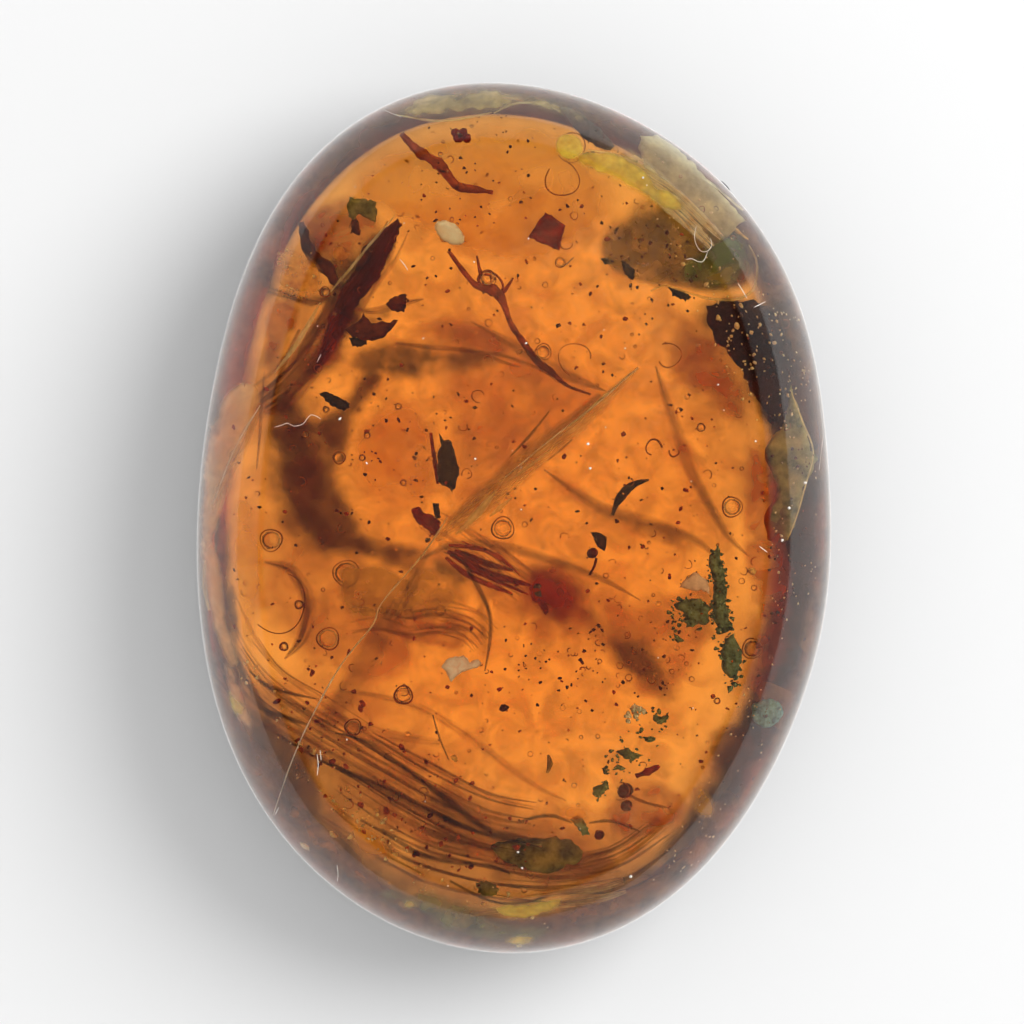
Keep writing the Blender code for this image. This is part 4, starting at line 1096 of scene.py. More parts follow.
def make_grown_grains():
    """Seeds, crumbs, slivers and mineral grains, each in place of its plain solid."""
    add_grains("seed_round", [(592, 553, 5.2, 0.0)], FIN["seed"], ("seed_stalked",), detail=3,
               uneven=0.06, flat=0.9)
    add_stems("seed_leg", [[(596, 558, 1.1), (594, 566, 1.4), (589, 575, 1.0)]], FIN["seed"],
              ("seed_stalk",), sides=7)
    for name, node, grain in (("seed_red_left", "seed_left", (625, 790, 7.0, 0.0)),
                              ("seed_red_right", "seed_right", (626, 805, 5.2, 0.0)),
                              ("seed_red_bottom", "seed_bottom", (599, 834, 4.4, 0.0))):
        add_grains(name, [grain], FIN["seed"], (node,), detail=3, uneven=0.08, flat=0.85)
    add_grains("crumb_red_top", [(461, 137, 7.0, 0.0), (455, 134, 4.0, 0.0), (467, 139, 4.4, 0.0)],
               FIN["flake_red"], ("bark_crumb_top",), detail=2, uneven=0.2, flat=0.6)
    add_stems("streak_red", [[(636, 775, 2.2), (647, 771, 3.4), (659, 765, 2.0)]], FIN["flake_red"],
              ("bark_streak_red",), knots=0.3)
    add_stems("sliver_gold", [[(726, 223, 3.0), (737, 232, 2.6), (748, 240, 1.2)]], FIN["gold"],
              ("bark_sliver_gold",), lift=-0.55)
    add_stems("sliver_green", [[(548, 754, 1.0), (550, 763, 2.6), (547, 772, 1.4)]], FIN["green_leaf"],
              ("leaf_sliver_green",))
    crystals = scattered([(624, 706), (636, 704), (648, 712), (646, 722), (634, 724), (626, 722)], 16, (1.6, 4.4),
                         (3.8, 4.2), 8)
    add_grains("mineral_crystals", crystals, FIN["mineral"], ("mineral_grains",), detail=1, uneven=0.3,
               flat=0.8, seed=9)


STONE_FIELD = [(300, 240), (420, 130), (560, 110), (690, 170), (780, 300), (810, 480), (790, 650), (700, 800),
               (560, 900), (420, 880), (300, 780), (230, 620), (225, 450)]


SPECKS = (
    # piece, finish, slot, flatness, seed, fields of (outline, count, radii, lifts, seed), single crumbs
    ("moss_loose_crumbs", "moss", "moss", 0.8, 12,
     [([(708, 545), (720, 545), (728, 580), (735, 640), (744, 660), (738, 690), (720, 680), (712, 640),
        (704, 600)], 170, (0.9, 2.6), (-0.4, 0.5), 60),
      ([(668, 600), (690, 592), (714, 604), (712, 628), (684, 634), (670, 645)], 70, (0.9, 2.6), (-0.4, 0.5), 61),
      ([(610, 745), (650, 705), (674, 712), (650, 760), (600, 800), (586, 796)], 60, (0.9, 2.6), (-0.4, 0.5),
       62)],
     []),
    ("crumbs_dark", "speck_dark", "dark_bark", 0.7, 31,
     [(STONE_FIELD, 420, (0.6, 1.9), (-3.5, 3.0), 21),
      ([(350, 390), (480, 390), (480, 520), (350, 520)], 46, (0.8, 2.2), (-1, 3), 22),
      ([(515, 640), (560, 640), (560, 690), (515, 690)], 22, (0.8, 2.0), (0, 3), 23),
      ([(560, 620), (700, 620), (700, 700), (560, 700)], 44, (0.8, 2.2), (0, 3), 24),
      ([(400, 110), (600, 110), (620, 200), (420, 240)], 50, (0.8, 2.2), (0, 3), 25),
      ([(590, 225), (700, 225), (700, 300), (610, 290)], 60, (0.8, 2.4), (0, 2), 26),
      ([(760, 300), (812, 380), (824, 520), (800, 690), (740, 800), (720, 780), (765, 640), (765, 420)], 120,
       (0.8, 2.2), (0, 3), 27)],
     [(461, 137, 3.0, 0.5), (558, 327, 2.4, 1.0), (504, 707, 4.0, 1.0), (616, 521, 2.4, 0.5),
      (428, 540, 2.6, 0.5), (586, 158, 4.0, 0.5), (595, 160, 3.0, 0.5), (592, 155, 2.6, 0.5)]),
    ("crumbs_rust", "speck_rust", "red_bark", 0.6, 43,
     [(STONE_FIELD, 340, (0.7, 2.6), (-3, 2), 41),
      ([(290, 640), (420, 740), (560, 830), (520, 890), (380, 850), (270, 720)], 90, (1.0, 3.6), (-2, 2), 42)],
     []),
    # Straw-gold crumbs, in part painted glints, mostly round the rim
    ("crumbs_straw_and_glints", "speck_pale", "straw_bark", 0.6, 55,
     [([(650, 150), (740, 220), (800, 330), (770, 345), (700, 300), (640, 200)], 60, (0.8, 2.2), (1, 3), 51),
      ([(780, 330), (812, 380), (824, 520), (800, 690), (730, 810), (700, 860), (640, 890), (700, 790),
        (765, 640), (775, 420)], 110, (0.7, 1.7), (2, 4), 52),
      ([(220, 640), (300, 780), (420, 890), (560, 930), (540, 900), (420, 850), (310, 740), (250, 650)], 100,
       (0.8, 2.6), (1, 3), 53),
      ([(278, 250), (322, 250), (322, 300), (278, 298)], 60, (0.8, 2.2), (0, 2), 54),
      ([(684, 300), (740, 296), (800, 320), (812, 400), (790, 430), (752, 420), (712, 350)], 90, (0.8, 2.2),
       (1.5, 3), 56)],
     [(717, 319, 3.0, 2), (735, 327, 3.2, 2), (740, 307, 2.6, 2), (750, 334, 2.6, 2), (773, 344, 2.6, 2),
      (682, 266, 2.6, 2), (705, 286, 2.6, 2), (750, 571, 4.0, 1), (305, 845, 5.5, 1), (334, 833, 3.6, 1),
      (351, 835, 3.4, 1), (519, 945, 3.4, 1), (455, 757, 3.4, 2)]),
)


def make_specks():
    """Loose moss round its strands, and fine crumbs: dark and rust ones all through, and straw-gold ones at the
    rim, in part painted glints.
    """
    for name, finish, slot, flat, seed, fields, singles in SPECKS:
        grains = [grain for field in fields for grain in scattered(*field)]
        add_grains(name, grains + singles, FIN[finish], uneven=0.35, flat=flat, seed=seed)


def ellipse(x, y, reach_x, reach_y, turn=0.0, count=14):
    """Outline of an oval cloud round a pixel."""
    steps = [math.tau * k / count for k in range(count)]
    return [(x + reach_x * math.cos(t) * math.cos(turn) - reach_y * math.sin(t) * math.sin(turn),
             y + reach_x * math.cos(t) * math.sin(turn) + reach_y * math.sin(t) * math.cos(turn)) for t in steps]


# Share of the fade stated, and of the mesh step that an edge frays
FADE_SHARE = 0.75
EDGE_FRAYING = 0.2

CLOUDS = (
    # piece, finish, lift, fade in millimetres, mesh step in pixels, outline in pixels
    ("haze_low", "haze_film", -2.4, 2.0, 16, ellipse(514, 530, 250, 370)),
    ("wash_bottom", "wash_film", -2.2, 3.0, 14, [(215, 600), (270, 640), (340, 660), (400, 690), (450, 730),
     (500, 770), (580, 800), (640, 790), (700, 720), (760, 620), (800, 640), (770, 760), (700, 850),
     (600, 915), (500, 935), (400, 915), (320, 860), (260, 780), (222, 700)]),
    ("wash_left", "wash_film", -2.0, 2.2, 12, [(270, 200), (340, 190), (370, 260), (350, 340), (330, 400),
     (340, 470), (350, 540), (400, 580), (440, 620), (430, 680), (360, 700), (270, 660), (228, 600),
     (222, 480), (240, 340)]),
    ("wash_right", "wash_film", -1.8, 2.0, 12, [(660, 300), (720, 310), (790, 370), (812, 480), (806, 560),
     (770, 560), (740, 520), (700, 470), (664, 400)]),
    ("wash_right_low", "wash_film", -1.9, 2.0, 12, [(700, 600), (770, 580), (806, 600), (790, 690), (748, 760),
     (716, 740), (712, 670)]),
    ("wash_middle", "wash_film", -1.6, 2.0, 12, [(400, 300), (470, 300), (560, 340), (620, 390), (600, 430),
     (540, 480), (480, 520), (440, 530), (440, 440), (420, 370)]),
    ("wash_fibres", "wash_film", -1.2, 1.4, 10, [(420, 540), (470, 536), (530, 552), (590, 566), (650, 600),
     (720, 560), (740, 600), (690, 690), (650, 720), (600, 660), (540, 630), (480, 610), (430, 580)]),
    ("wash_top", "sun_film", -0.8, 2.0, 12, [(330, 180), (380, 130), (450, 108), (530, 108), (600, 140),
     (640, 190), (600, 260), (540, 290), (470, 270), (400, 240), (350, 240)]),
    ("wash_disc", "sun_film", -0.9, 1.4, 10, ellipse(398, 460, 52, 70)),
    ("dusk_bottom_left", "rose_film", -1.4, 1.6, 10, [(222, 640), (262, 684), (310, 722), (360, 752),
     (410, 785), (470, 805), (540, 812), (600, 826), (640, 850), (600, 890), (560, 905), (500, 925),
     (430, 920), (360, 885), (300, 835), (255, 775), (226, 710)]),
    ("dusk_corner_left", "brown_film", -1.2, 1.2, 8, [(224, 650), (254, 686), (290, 724), (316, 760),
     (330, 800), (318, 836), (270, 790), (240, 740)]),
    ("dusk_bottom_right", "rose_film", -1.0, 1.6, 10, [(560, 858), (610, 846), (650, 820), (680, 780),
     (700, 730), (740, 690), (770, 700), (750, 770), (705, 840), (660, 890), (600, 925), (545, 915)]),
    ("dusk_corner_right", "brown_film", -0.8, 1.2, 8, [(650, 846), (680, 812), (704, 770), (716, 716),
     (744, 694), (772, 700), (760, 764), (728, 816), (690, 856), (650, 884)]),
    ("rose_bottom", "veil_film", -0.6, 1.6, 10, [(420, 770), (480, 776), (540, 800), (580, 830), (560, 870),
     (500, 876), (440, 850), (410, 810)]),
    ("smoke_bay", "brown_film", -0.9, 1.1, 7, [(282, 412), (312, 418), (338, 396), (352, 376), (372, 362),
     (396, 372), (376, 402), (358, 430), (350, 460), (350, 486), (360, 510), (384, 532), (412, 540),
     (440, 546), (430, 572), (388, 576), (346, 566), (316, 552), (294, 528), (278, 496), (272, 450)]),
    ("smoke_bay_core", "brown_film", -0.5, 1.4, 6, [(268, 460), (288, 446), (320, 450), (342, 472), (352, 496),
     (368, 524), (396, 540), (430, 550), (396, 568), (352, 566), (320, 552), (296, 522), (276, 492)]),
    ("smoke_bay_left", "soft_smoke", -0.7, 1.4, 8, [(262, 396), (300, 384), (330, 400), (316, 440), (330, 500),
     (350, 560), (316, 570), (280, 540), (262, 500), (256, 440)]),
    ("milk", "milk_film", 3.8, 4.0, 16, ellipse(540, 400, 170, 230, 0.5)),
    ("milk_low", "milk_film", 3.6, 3.0, 14, ellipse(560, 780, 130, 90)),
    ("smoke_bay_upper", "brown_film", -0.4, 1.0, 6, [(330, 404), (348, 388), (360, 372), (380, 366),
     (388, 380), (370, 402), (356, 428), (348, 456), (326, 458), (314, 436), (318, 416)]),
    ("lens_brown", "dark_film", -0.8, 1.1, 6, [(346, 358), (360, 342), (380, 336), (404, 333), (430, 336),
     (458, 342), (486, 348), (516, 360), (496, 372), (468, 376), (440, 380), (410, 386), (376, 386),
     (352, 376)]),
    ("lens_halo", "red_film", -0.2, 1.0, 7, [(392, 338), (412, 318), (446, 312), (484, 320), (512, 340),
     (524, 360), (500, 364), (470, 352), (436, 346)]),
    ("streak_left", "brown_film", -0.4, 1.0, 7, [(330, 298), (362, 308), (370, 326), (350, 344), (350, 366),
     (326, 378), (304, 400), (318, 424), (316, 450), (288, 466), (268, 450), (262, 414), (276, 388),
     (304, 360), (322, 340)]),
    ("fold_left", "red_film", -0.1, 0.9, 6, [(326, 300), (358, 308), (366, 326), (346, 344), (344, 364),
     (322, 376), (298, 396), (280, 402), (268, 410), (276, 388), (302, 362), (320, 338)]),
    ("dark_right", "dark_film", -1.2, 1.2, 8, [(680, 304), (712, 288), (742, 286), (770, 296), (792, 318),
     (806, 350), (806, 392), (796, 428), (778, 452), (756, 426), (748, 398), (734, 374), (718, 352),
     (698, 334)]),
    ("dark_right_over", "dark_film", 1.0, 1.1, 8, [(700, 306), (730, 294), (762, 300), (784, 322), (796, 356),
     (792, 400), (774, 434), (754, 412), (740, 380), (720, 350)]),
    ("brown_right", "brown_film", 0.2, 1.2, 9, [(690, 296), (730, 292), (770, 300), (806, 350), (822, 430),
     (816, 560), (800, 660), (770, 690), (756, 640), (760, 560), (756, 480), (752, 440), (744, 410),
     (732, 380), (712, 340), (696, 318)]),
    ("red_right_low", "red_film", 0.9, 1.0, 8, [(742, 420), (762, 440), (784, 490), (796, 560), (790, 640),
     (776, 706), (746, 716), (736, 650), (744, 600), (736, 540), (738, 470)]),
    ("smoke_slope", "soft_smoke", -0.6, 1.1, 7, [(560, 590), (584, 598), (612, 612), (640, 626), (664, 650),
     (684, 676), (690, 704), (672, 712), (650, 700), (630, 682), (606, 668), (592, 646), (576, 622)]),
    ("smoke_slope_patch", "brown_film", -0.2, 0.8, 6, [(604, 640), (626, 634), (646, 644), (662, 662),
     (672, 682), (660, 692), (640, 682), (616, 668)]),
    ("slope_upper", "soft_smoke", -0.4, 1.1, 8, [(536, 468), (560, 474), (590, 492), (622, 506), (660, 518),
     (704, 540), (716, 556), (690, 560), (656, 546), (616, 536), (580, 516), (552, 496)]),
    ("plane_red_right", "red_film", -0.5, 1.6, 9, [(648, 292), (690, 300), (730, 330), (752, 390), (782, 440),
     (760, 470), (728, 430), (700, 400), (660, 380), (640, 340)]),
    ("plane_red_low", "wash_film", -0.5, 1.2, 9, [(646, 366), (672, 380), (700, 450), (724, 500), (748, 548),
     (730, 580), (706, 540), (680, 500), (652, 430)]),
    # Painted shadow of the glossy chip: a red halo, a deep red smudge and a dark core, reaching out to its right
    ("chip_shadow_halo", "red_film", 0.2, 1.8, 6, ellipse(556, 602, 48, 52, 0.2)),
    ("chip_shadow", "chip_shadow_film", -1.4, 1.6, 5, [(528, 560), (556, 556), (580, 566), (594, 590), (588, 616),
     (566, 630), (542, 626), (524, 604), (520, 580)]),
    ("chip_shadow_core", "dark_film", -1.2, 0.9, 4, [(526, 572), (548, 570), (566, 584), (568, 602), (556, 616),
     (538, 614), (528, 598)]),
    ("olive_lobe", "olive_film", 1.6, 0.9, 7, [(330, 564), (360, 556), (400, 558), (436, 560), (470, 576),
     (478, 600), (468, 618), (430, 622), (404, 624), (372, 626), (346, 616), (334, 596)]),
    ("olive_lobe_shade", "brown_film", 0.2, 0.9, 7, [(424, 556), (456, 556), (478, 576), (492, 602),
     (494, 640), (484, 672), (472, 650), (474, 610), (456, 586), (432, 574)]),
    # Painted sheen on the olive lobe
    ("olive_lobe_gold", "sheen_film", 2.0, 0.6, 5, [(336, 602), (356, 598), (384, 604), (380, 620),
     (352, 622)]),
    ("crack_sheen", "crack_film", 2.6, 0.6, 6, [(437, 536), (452, 512), (476, 492), (506, 462), (534, 440),
     (566, 416), (604, 386), (640, 366), (616, 400), (590, 428), (560, 456), (528, 484), (500, 510),
     (470, 534), (448, 544)]),
    ("olive_streaks", "red_film", 0.9, 0.7, 6, [(374, 600), (420, 604), (470, 612), (486, 628), (474, 654),
     (430, 650), (390, 640)]),
    ("olive_lobe_green", "green_film", 1.0, 0.7, 6, [(424, 558), (450, 560), (470, 574), (478, 592),
     (456, 590), (434, 578)]),
    ("green_lens", "olive_film", -0.6, 1.1, 7, [(590, 240), (610, 214), (634, 194), (660, 184), (692, 186),
     (716, 200), (734, 216), (752, 236), (760, 262), (752, 292), (730, 302), (704, 300), (676, 292),
     (650, 294), (622, 288), (598, 272)]),
    ("green_lens_core", "lens_film", 0.1, 0.6, 6, [(596, 240), (630, 214), (670, 200), (712, 210), (744, 232),
     (758, 262), (752, 292), (722, 300), (690, 294), (650, 290), (618, 280), (598, 262)]),
    ("green_lens_bright", "olive_film", 2.0, 0.4, 4, [(690, 274), (714, 270), (734, 256), (746, 262),
     (744, 282), (722, 290), (700, 286)]),
    ("lens_olive_low", "green_film", 1.3, 0.5, 5, [(680, 262), (704, 246), (728, 232), (744, 242), (752, 266),
     (744, 288), (720, 296), (694, 290), (668, 282)]),
    ("green_lens_rust", "red_film", 0.4, 0.6, 5, [(728, 240), (744, 248), (754, 268), (748, 288), (730, 294),
     (722, 274), (724, 256)]),
    # Painted golden glints and painted sheen over the straw sheet and the bubble beside it
    ("straw_sheen", "glint_film", 5.0, 0.6, 5, [(562, 160), (584, 150), (612, 152), (640, 166), (664, 182),
     (684, 200), (690, 220), (668, 216), (644, 204), (616, 190), (588, 176)]),
    ("bubble_gold", "glint_film", 5.0, 0.35, 4, ellipse(569, 149, 16, 16)),
    ("straw_gold", "sheen_film", 3.0, 0.7, 5, [(600, 140), (626, 146), (650, 160), (676, 186), (690, 206),
     (684, 224), (662, 214), (636, 196), (612, 176)]),
    ("straw_glint", "glint_film", 2.2, 0.5, 5, [(640, 168), (660, 178), (682, 200), (690, 220), (676, 214),
     (656, 196), (642, 182)]),
    # Painted olive sheen along the top rim
    ("top_sheen", "sheen_film", 1.6, 0.7, 5, [(386, 116), (400, 102), (420, 93), (446, 88), (474, 86),
     (506, 90), (530, 100), (514, 112), (480, 122), (440, 122), (408, 121)]),
    ("top_edge", "sheen_film", 1.8, 0.6, 5, [(494, 96), (520, 90), (560, 100), (596, 118), (584, 128),
     (552, 116), (520, 108)]),
    # Painted rim glow and sheen along the left edge
    ("edge_left", "rim_glow_film", 0.6, 0.6, 5, [(199, 520), (202, 460), (212, 420), (226, 388), (250, 378),
     (266, 392), (254, 428), (238, 464), (230, 504), (218, 540), (204, 566)]),
    ("edge_left_gold", "rim_glow_film", 0.5, 0.5, 5, [(199, 530), (214, 530), (224, 560), (228, 600), (236, 640),
     (244, 668), (230, 672), (212, 630), (202, 580)]),
    # Painted shade along the left rim
    ("side_mauve_left", "rim_shade_umber_film", 0.9, 0.5, 5, [(226, 576), (238, 582), (242, 610), (246, 640), (236, 650),
     (228, 624), (222, 598)]),
    ("edge_left_low", "rim_glow_film", 1.2, 0.6, 6, [(222, 650), (236, 664), (252, 706), (262, 742), (254, 750),
     (238, 724), (226, 690)]),
    ("top_slate", "mauve_film", 1.2, 0.8, 6, [(548, 104), (566, 102), (590, 114), (612, 132), (626, 152),
     (608, 160), (586, 148), (566, 130)]),
    ("leaf_upper_left", "red_film", -0.9, 0.9, 7, [(300, 212), (330, 192), (360, 192), (384, 212), (398, 240),
     (388, 272), (364, 300), (342, 330), (322, 362), (300, 384), (286, 404), (276, 400), (288, 366),
     (308, 330), (322, 296), (330, 272), (308, 256), (296, 236)]),
    ("left_shade", "rose_film", -1.0, 1.0, 8, [(246, 350), (280, 340), (316, 350), (320, 376), (298, 404),
     (280, 424), (250, 430), (238, 400)]),
    ("leaf_upper_dark", "dark_film", -0.6, 0.7, 6, [(340, 250), (372, 226), (396, 226), (396, 256), (382, 286),
     (366, 304), (392, 300), (402, 312), (384, 330), (360, 336), (346, 350), (330, 356), (322, 346),
     (332, 322), (318, 306), (292, 300), (270, 292), (272, 284), (300, 292), (324, 294), (330, 276),
     (318, 258), (304, 240), (300, 224), (312, 232), (326, 256)]),
    ("red_upper_left", "red_film", -0.3, 0.9, 7, [(268, 292), (290, 296), (306, 306), (300, 330), (284, 356),
     (272, 380), (260, 372), (258, 340)]),
    ("red_scrap_left", "red_film", -0.2, 0.8, 6, [(296, 216), (318, 208), (338, 220), (340, 250), (326, 268),
     (308, 256), (298, 238)]),
    ("gold_grain_left", "grain_film", 1.5, 0.6, 5, [(274, 256), (286, 246), (304, 250), (322, 264), (328, 286),
     (316, 300), (290, 298), (272, 284)]),
    ("gold_leaf_gap", "grain_film", 1.2, 0.7, 5, [(328, 244), (344, 236), (358, 248), (354, 268), (340, 278),
     (330, 264)]),
    # Pale fracture sheet at the left rim, with painted sheen
    ("side_wedge_left", "pale_film", 1.6, 0.6, 5, [(264, 404), (270, 400), (262, 424), (248, 450), (240, 476),
     (230, 500), (216, 524), (206, 544), (202, 530), (208, 498), (220, 462), (236, 434), (252, 414)]),
    ("side_yellow_left", "sun_film", 0.8, 0.9, 7, [(228, 500), (246, 486), (264, 500), (270, 560), (266, 640),
     (250, 668), (236, 640), (228, 580)]),
    ("side_red_left", "rose_film", 0.3, 0.9, 7, [(214, 380), (228, 330), (244, 296), (262, 300), (262, 350),
     (260, 400), (240, 400), (226, 400)]),
    ("red_area_bottom", "red_film", -0.2, 1.2, 8, [(598, 786), (624, 776), (660, 774), (690, 790), (694, 816),
     (672, 840), (640, 848), (612, 838), (596, 814)]),
    ("brown_triangle", "brown_film", 0.4, 1.0, 8, [(700, 726), (734, 716), (764, 728), (760, 770), (738, 806),
     (712, 820), (718, 790), (704, 760)]),
    # Painted golden glint at the lower left rim
    ("gold_bottom_left", "glint_film", 5.0, 0.5, 5, [(222, 688), (238, 690), (250, 704), (248, 718),
     (232, 716)]),
    ("pocket_gold", "sun_film", 0.6, 0.9, 6, [(340, 818), (366, 814), (390, 834), (404, 858), (384, 868),
     (356, 856), (342, 838)]),
    ("flow_rose", "rose_film", -0.2, 1.1, 8, [(324, 758), (380, 780), (440, 808), (500, 832), (560, 842),
     (590, 836), (600, 856), (560, 878), (500, 872), (440, 858), (380, 828), (340, 796)]),
    ("rim_mauve_left", "mauve_film", 1.4, 1.0, 8, [(226, 716), (254, 716), (288, 730), (316, 760), (322, 800),
     (306, 822), (280, 800), (250, 766)]),
    ("rim_olive_bottom", "lens_film", 2.4, 0.8, 6, [(372, 886), (410, 880), (460, 894), (500, 910), (560, 926),
     (540, 944), (480, 942), (420, 924), (384, 906)]),
    # Painted golden glints along the bottom rim
    ("gold_bottom_mid", "glint_film", 5.0, 0.5, 5, [(484, 904), (506, 900), (530, 898), (560, 890), (566, 902),
     (548, 914), (520, 920), (498, 914)]),
    ("gold_bottom_crumb", "glint_film", 5.0, 0.4, 5, [(398, 898), (414, 894), (424, 904), (408, 912)]),
    ("gold_bottom_rim", "glint_film", 5.0, 0.4, 5, [(500, 936), (520, 930), (540, 936), (530, 946),
     (508, 946)]),
    ("gold_bottom_right", "sun_film", 0.4, 0.9, 6, [(548, 806), (580, 796), (606, 810), (604, 828),
     (566, 828)]),
    ("orange_triangle", "sun_film", 1.4, 0.6, 6, [(690, 784), (704, 778), (720, 814), (706, 820), (690, 816)]),
    # Painted shade along the right rim, in two layers
    ("dusk_right", "rim_shade_umber_film", -0.4, 1.0, 8, [(752, 230), (784, 280), (806, 330), (822, 400), (830, 480),
     (828, 560), (816, 640), (796, 700), (768, 764), (728, 820), (686, 862), (640, 894), (622, 880),
     (664, 836), (700, 780), (734, 722), (758, 656), (766, 560), (766, 430), (768, 380), (764, 300),
     (744, 260)]),
    ("dusk_right_over", "rim_shade_umber_film", 0.2, 1.0, 8, [(756, 280), (784, 320), (804, 370), (816, 420), (822, 480),
     (824, 560), (806, 640), (790, 680), (776, 640), (776, 560), (764, 520), (766, 440), (772, 370),
     (758, 310)]),
    # Painted shade along the upper left rim
    ("rim_upper_left", "rim_shade_umber_film", 0.6, 0.9, 8, [(206, 330), (222, 280), (248, 228), (284, 184), (330, 146),
     (368, 124), (376, 140), (338, 166), (304, 194), (276, 222), (262, 256), (250, 300), (232, 340),
     (214, 366)]),
    ("rim_bottom", "rim_film", 0.2, 0.8, 8, [(232, 716), (262, 746), (300, 796), (344, 846), (400, 888),
     (470, 908), (540, 908), (604, 894), (650, 876), (690, 846), (716, 826), (720, 850), (670, 890),
     (606, 922), (560, 934), (500, 940), (430, 930), (370, 900), (316, 856), (270, 806), (240, 760)]),
    ("crack_plane_edge", "soft_smoke", 1.6, 0.8, 7, [(437, 532), (432, 562), (418, 598), (402, 634),
     (384, 668), (352, 716), (322, 758), (298, 780), (286, 776), (300, 740), (330, 690), (358, 640),
     (384, 600), (412, 562)]),
)


def hatch(path, spread, count, width, seed):
    """Many narrow strokes side by side along one path, each over its own stretch."""
    rng = random.Random(seed)
    strokes = []
    for _ in range(count):
        first = rng.randrange(0, len(path) - 2)
        last = min(len(path), first + rng.randint(3, 6))
        aside = rng.uniform(-spread, spread)
        thick = rng.uniform(0.4, 1.0) * width
        stroke = []
        for k in range(first, last):
            before, after = path[max(k - 1, 0)], path[min(k + 1, len(path) - 1)]
            along = Vector((after[0] - before[0], after[1] - before[1])).normalized()
            drift = aside + rng.uniform(-2.0, 2.0)
            stroke.append((path[k][0] - along.y * drift, path[k][1] + along.x * drift,
                           thick * (0.3 if k in (first, last - 1) else 1)))
        strokes.append(stroke)
    return strokes


FLOOR_BEND = [(214, 606), (234, 652), (264, 690), (310, 722), (360, 752), (420, 786), (480, 816), (530, 828)]
LOW_BEND = [(330, 796), (380, 830), (430, 856), (500, 874), (560, 880), (620, 868), (670, 836)]

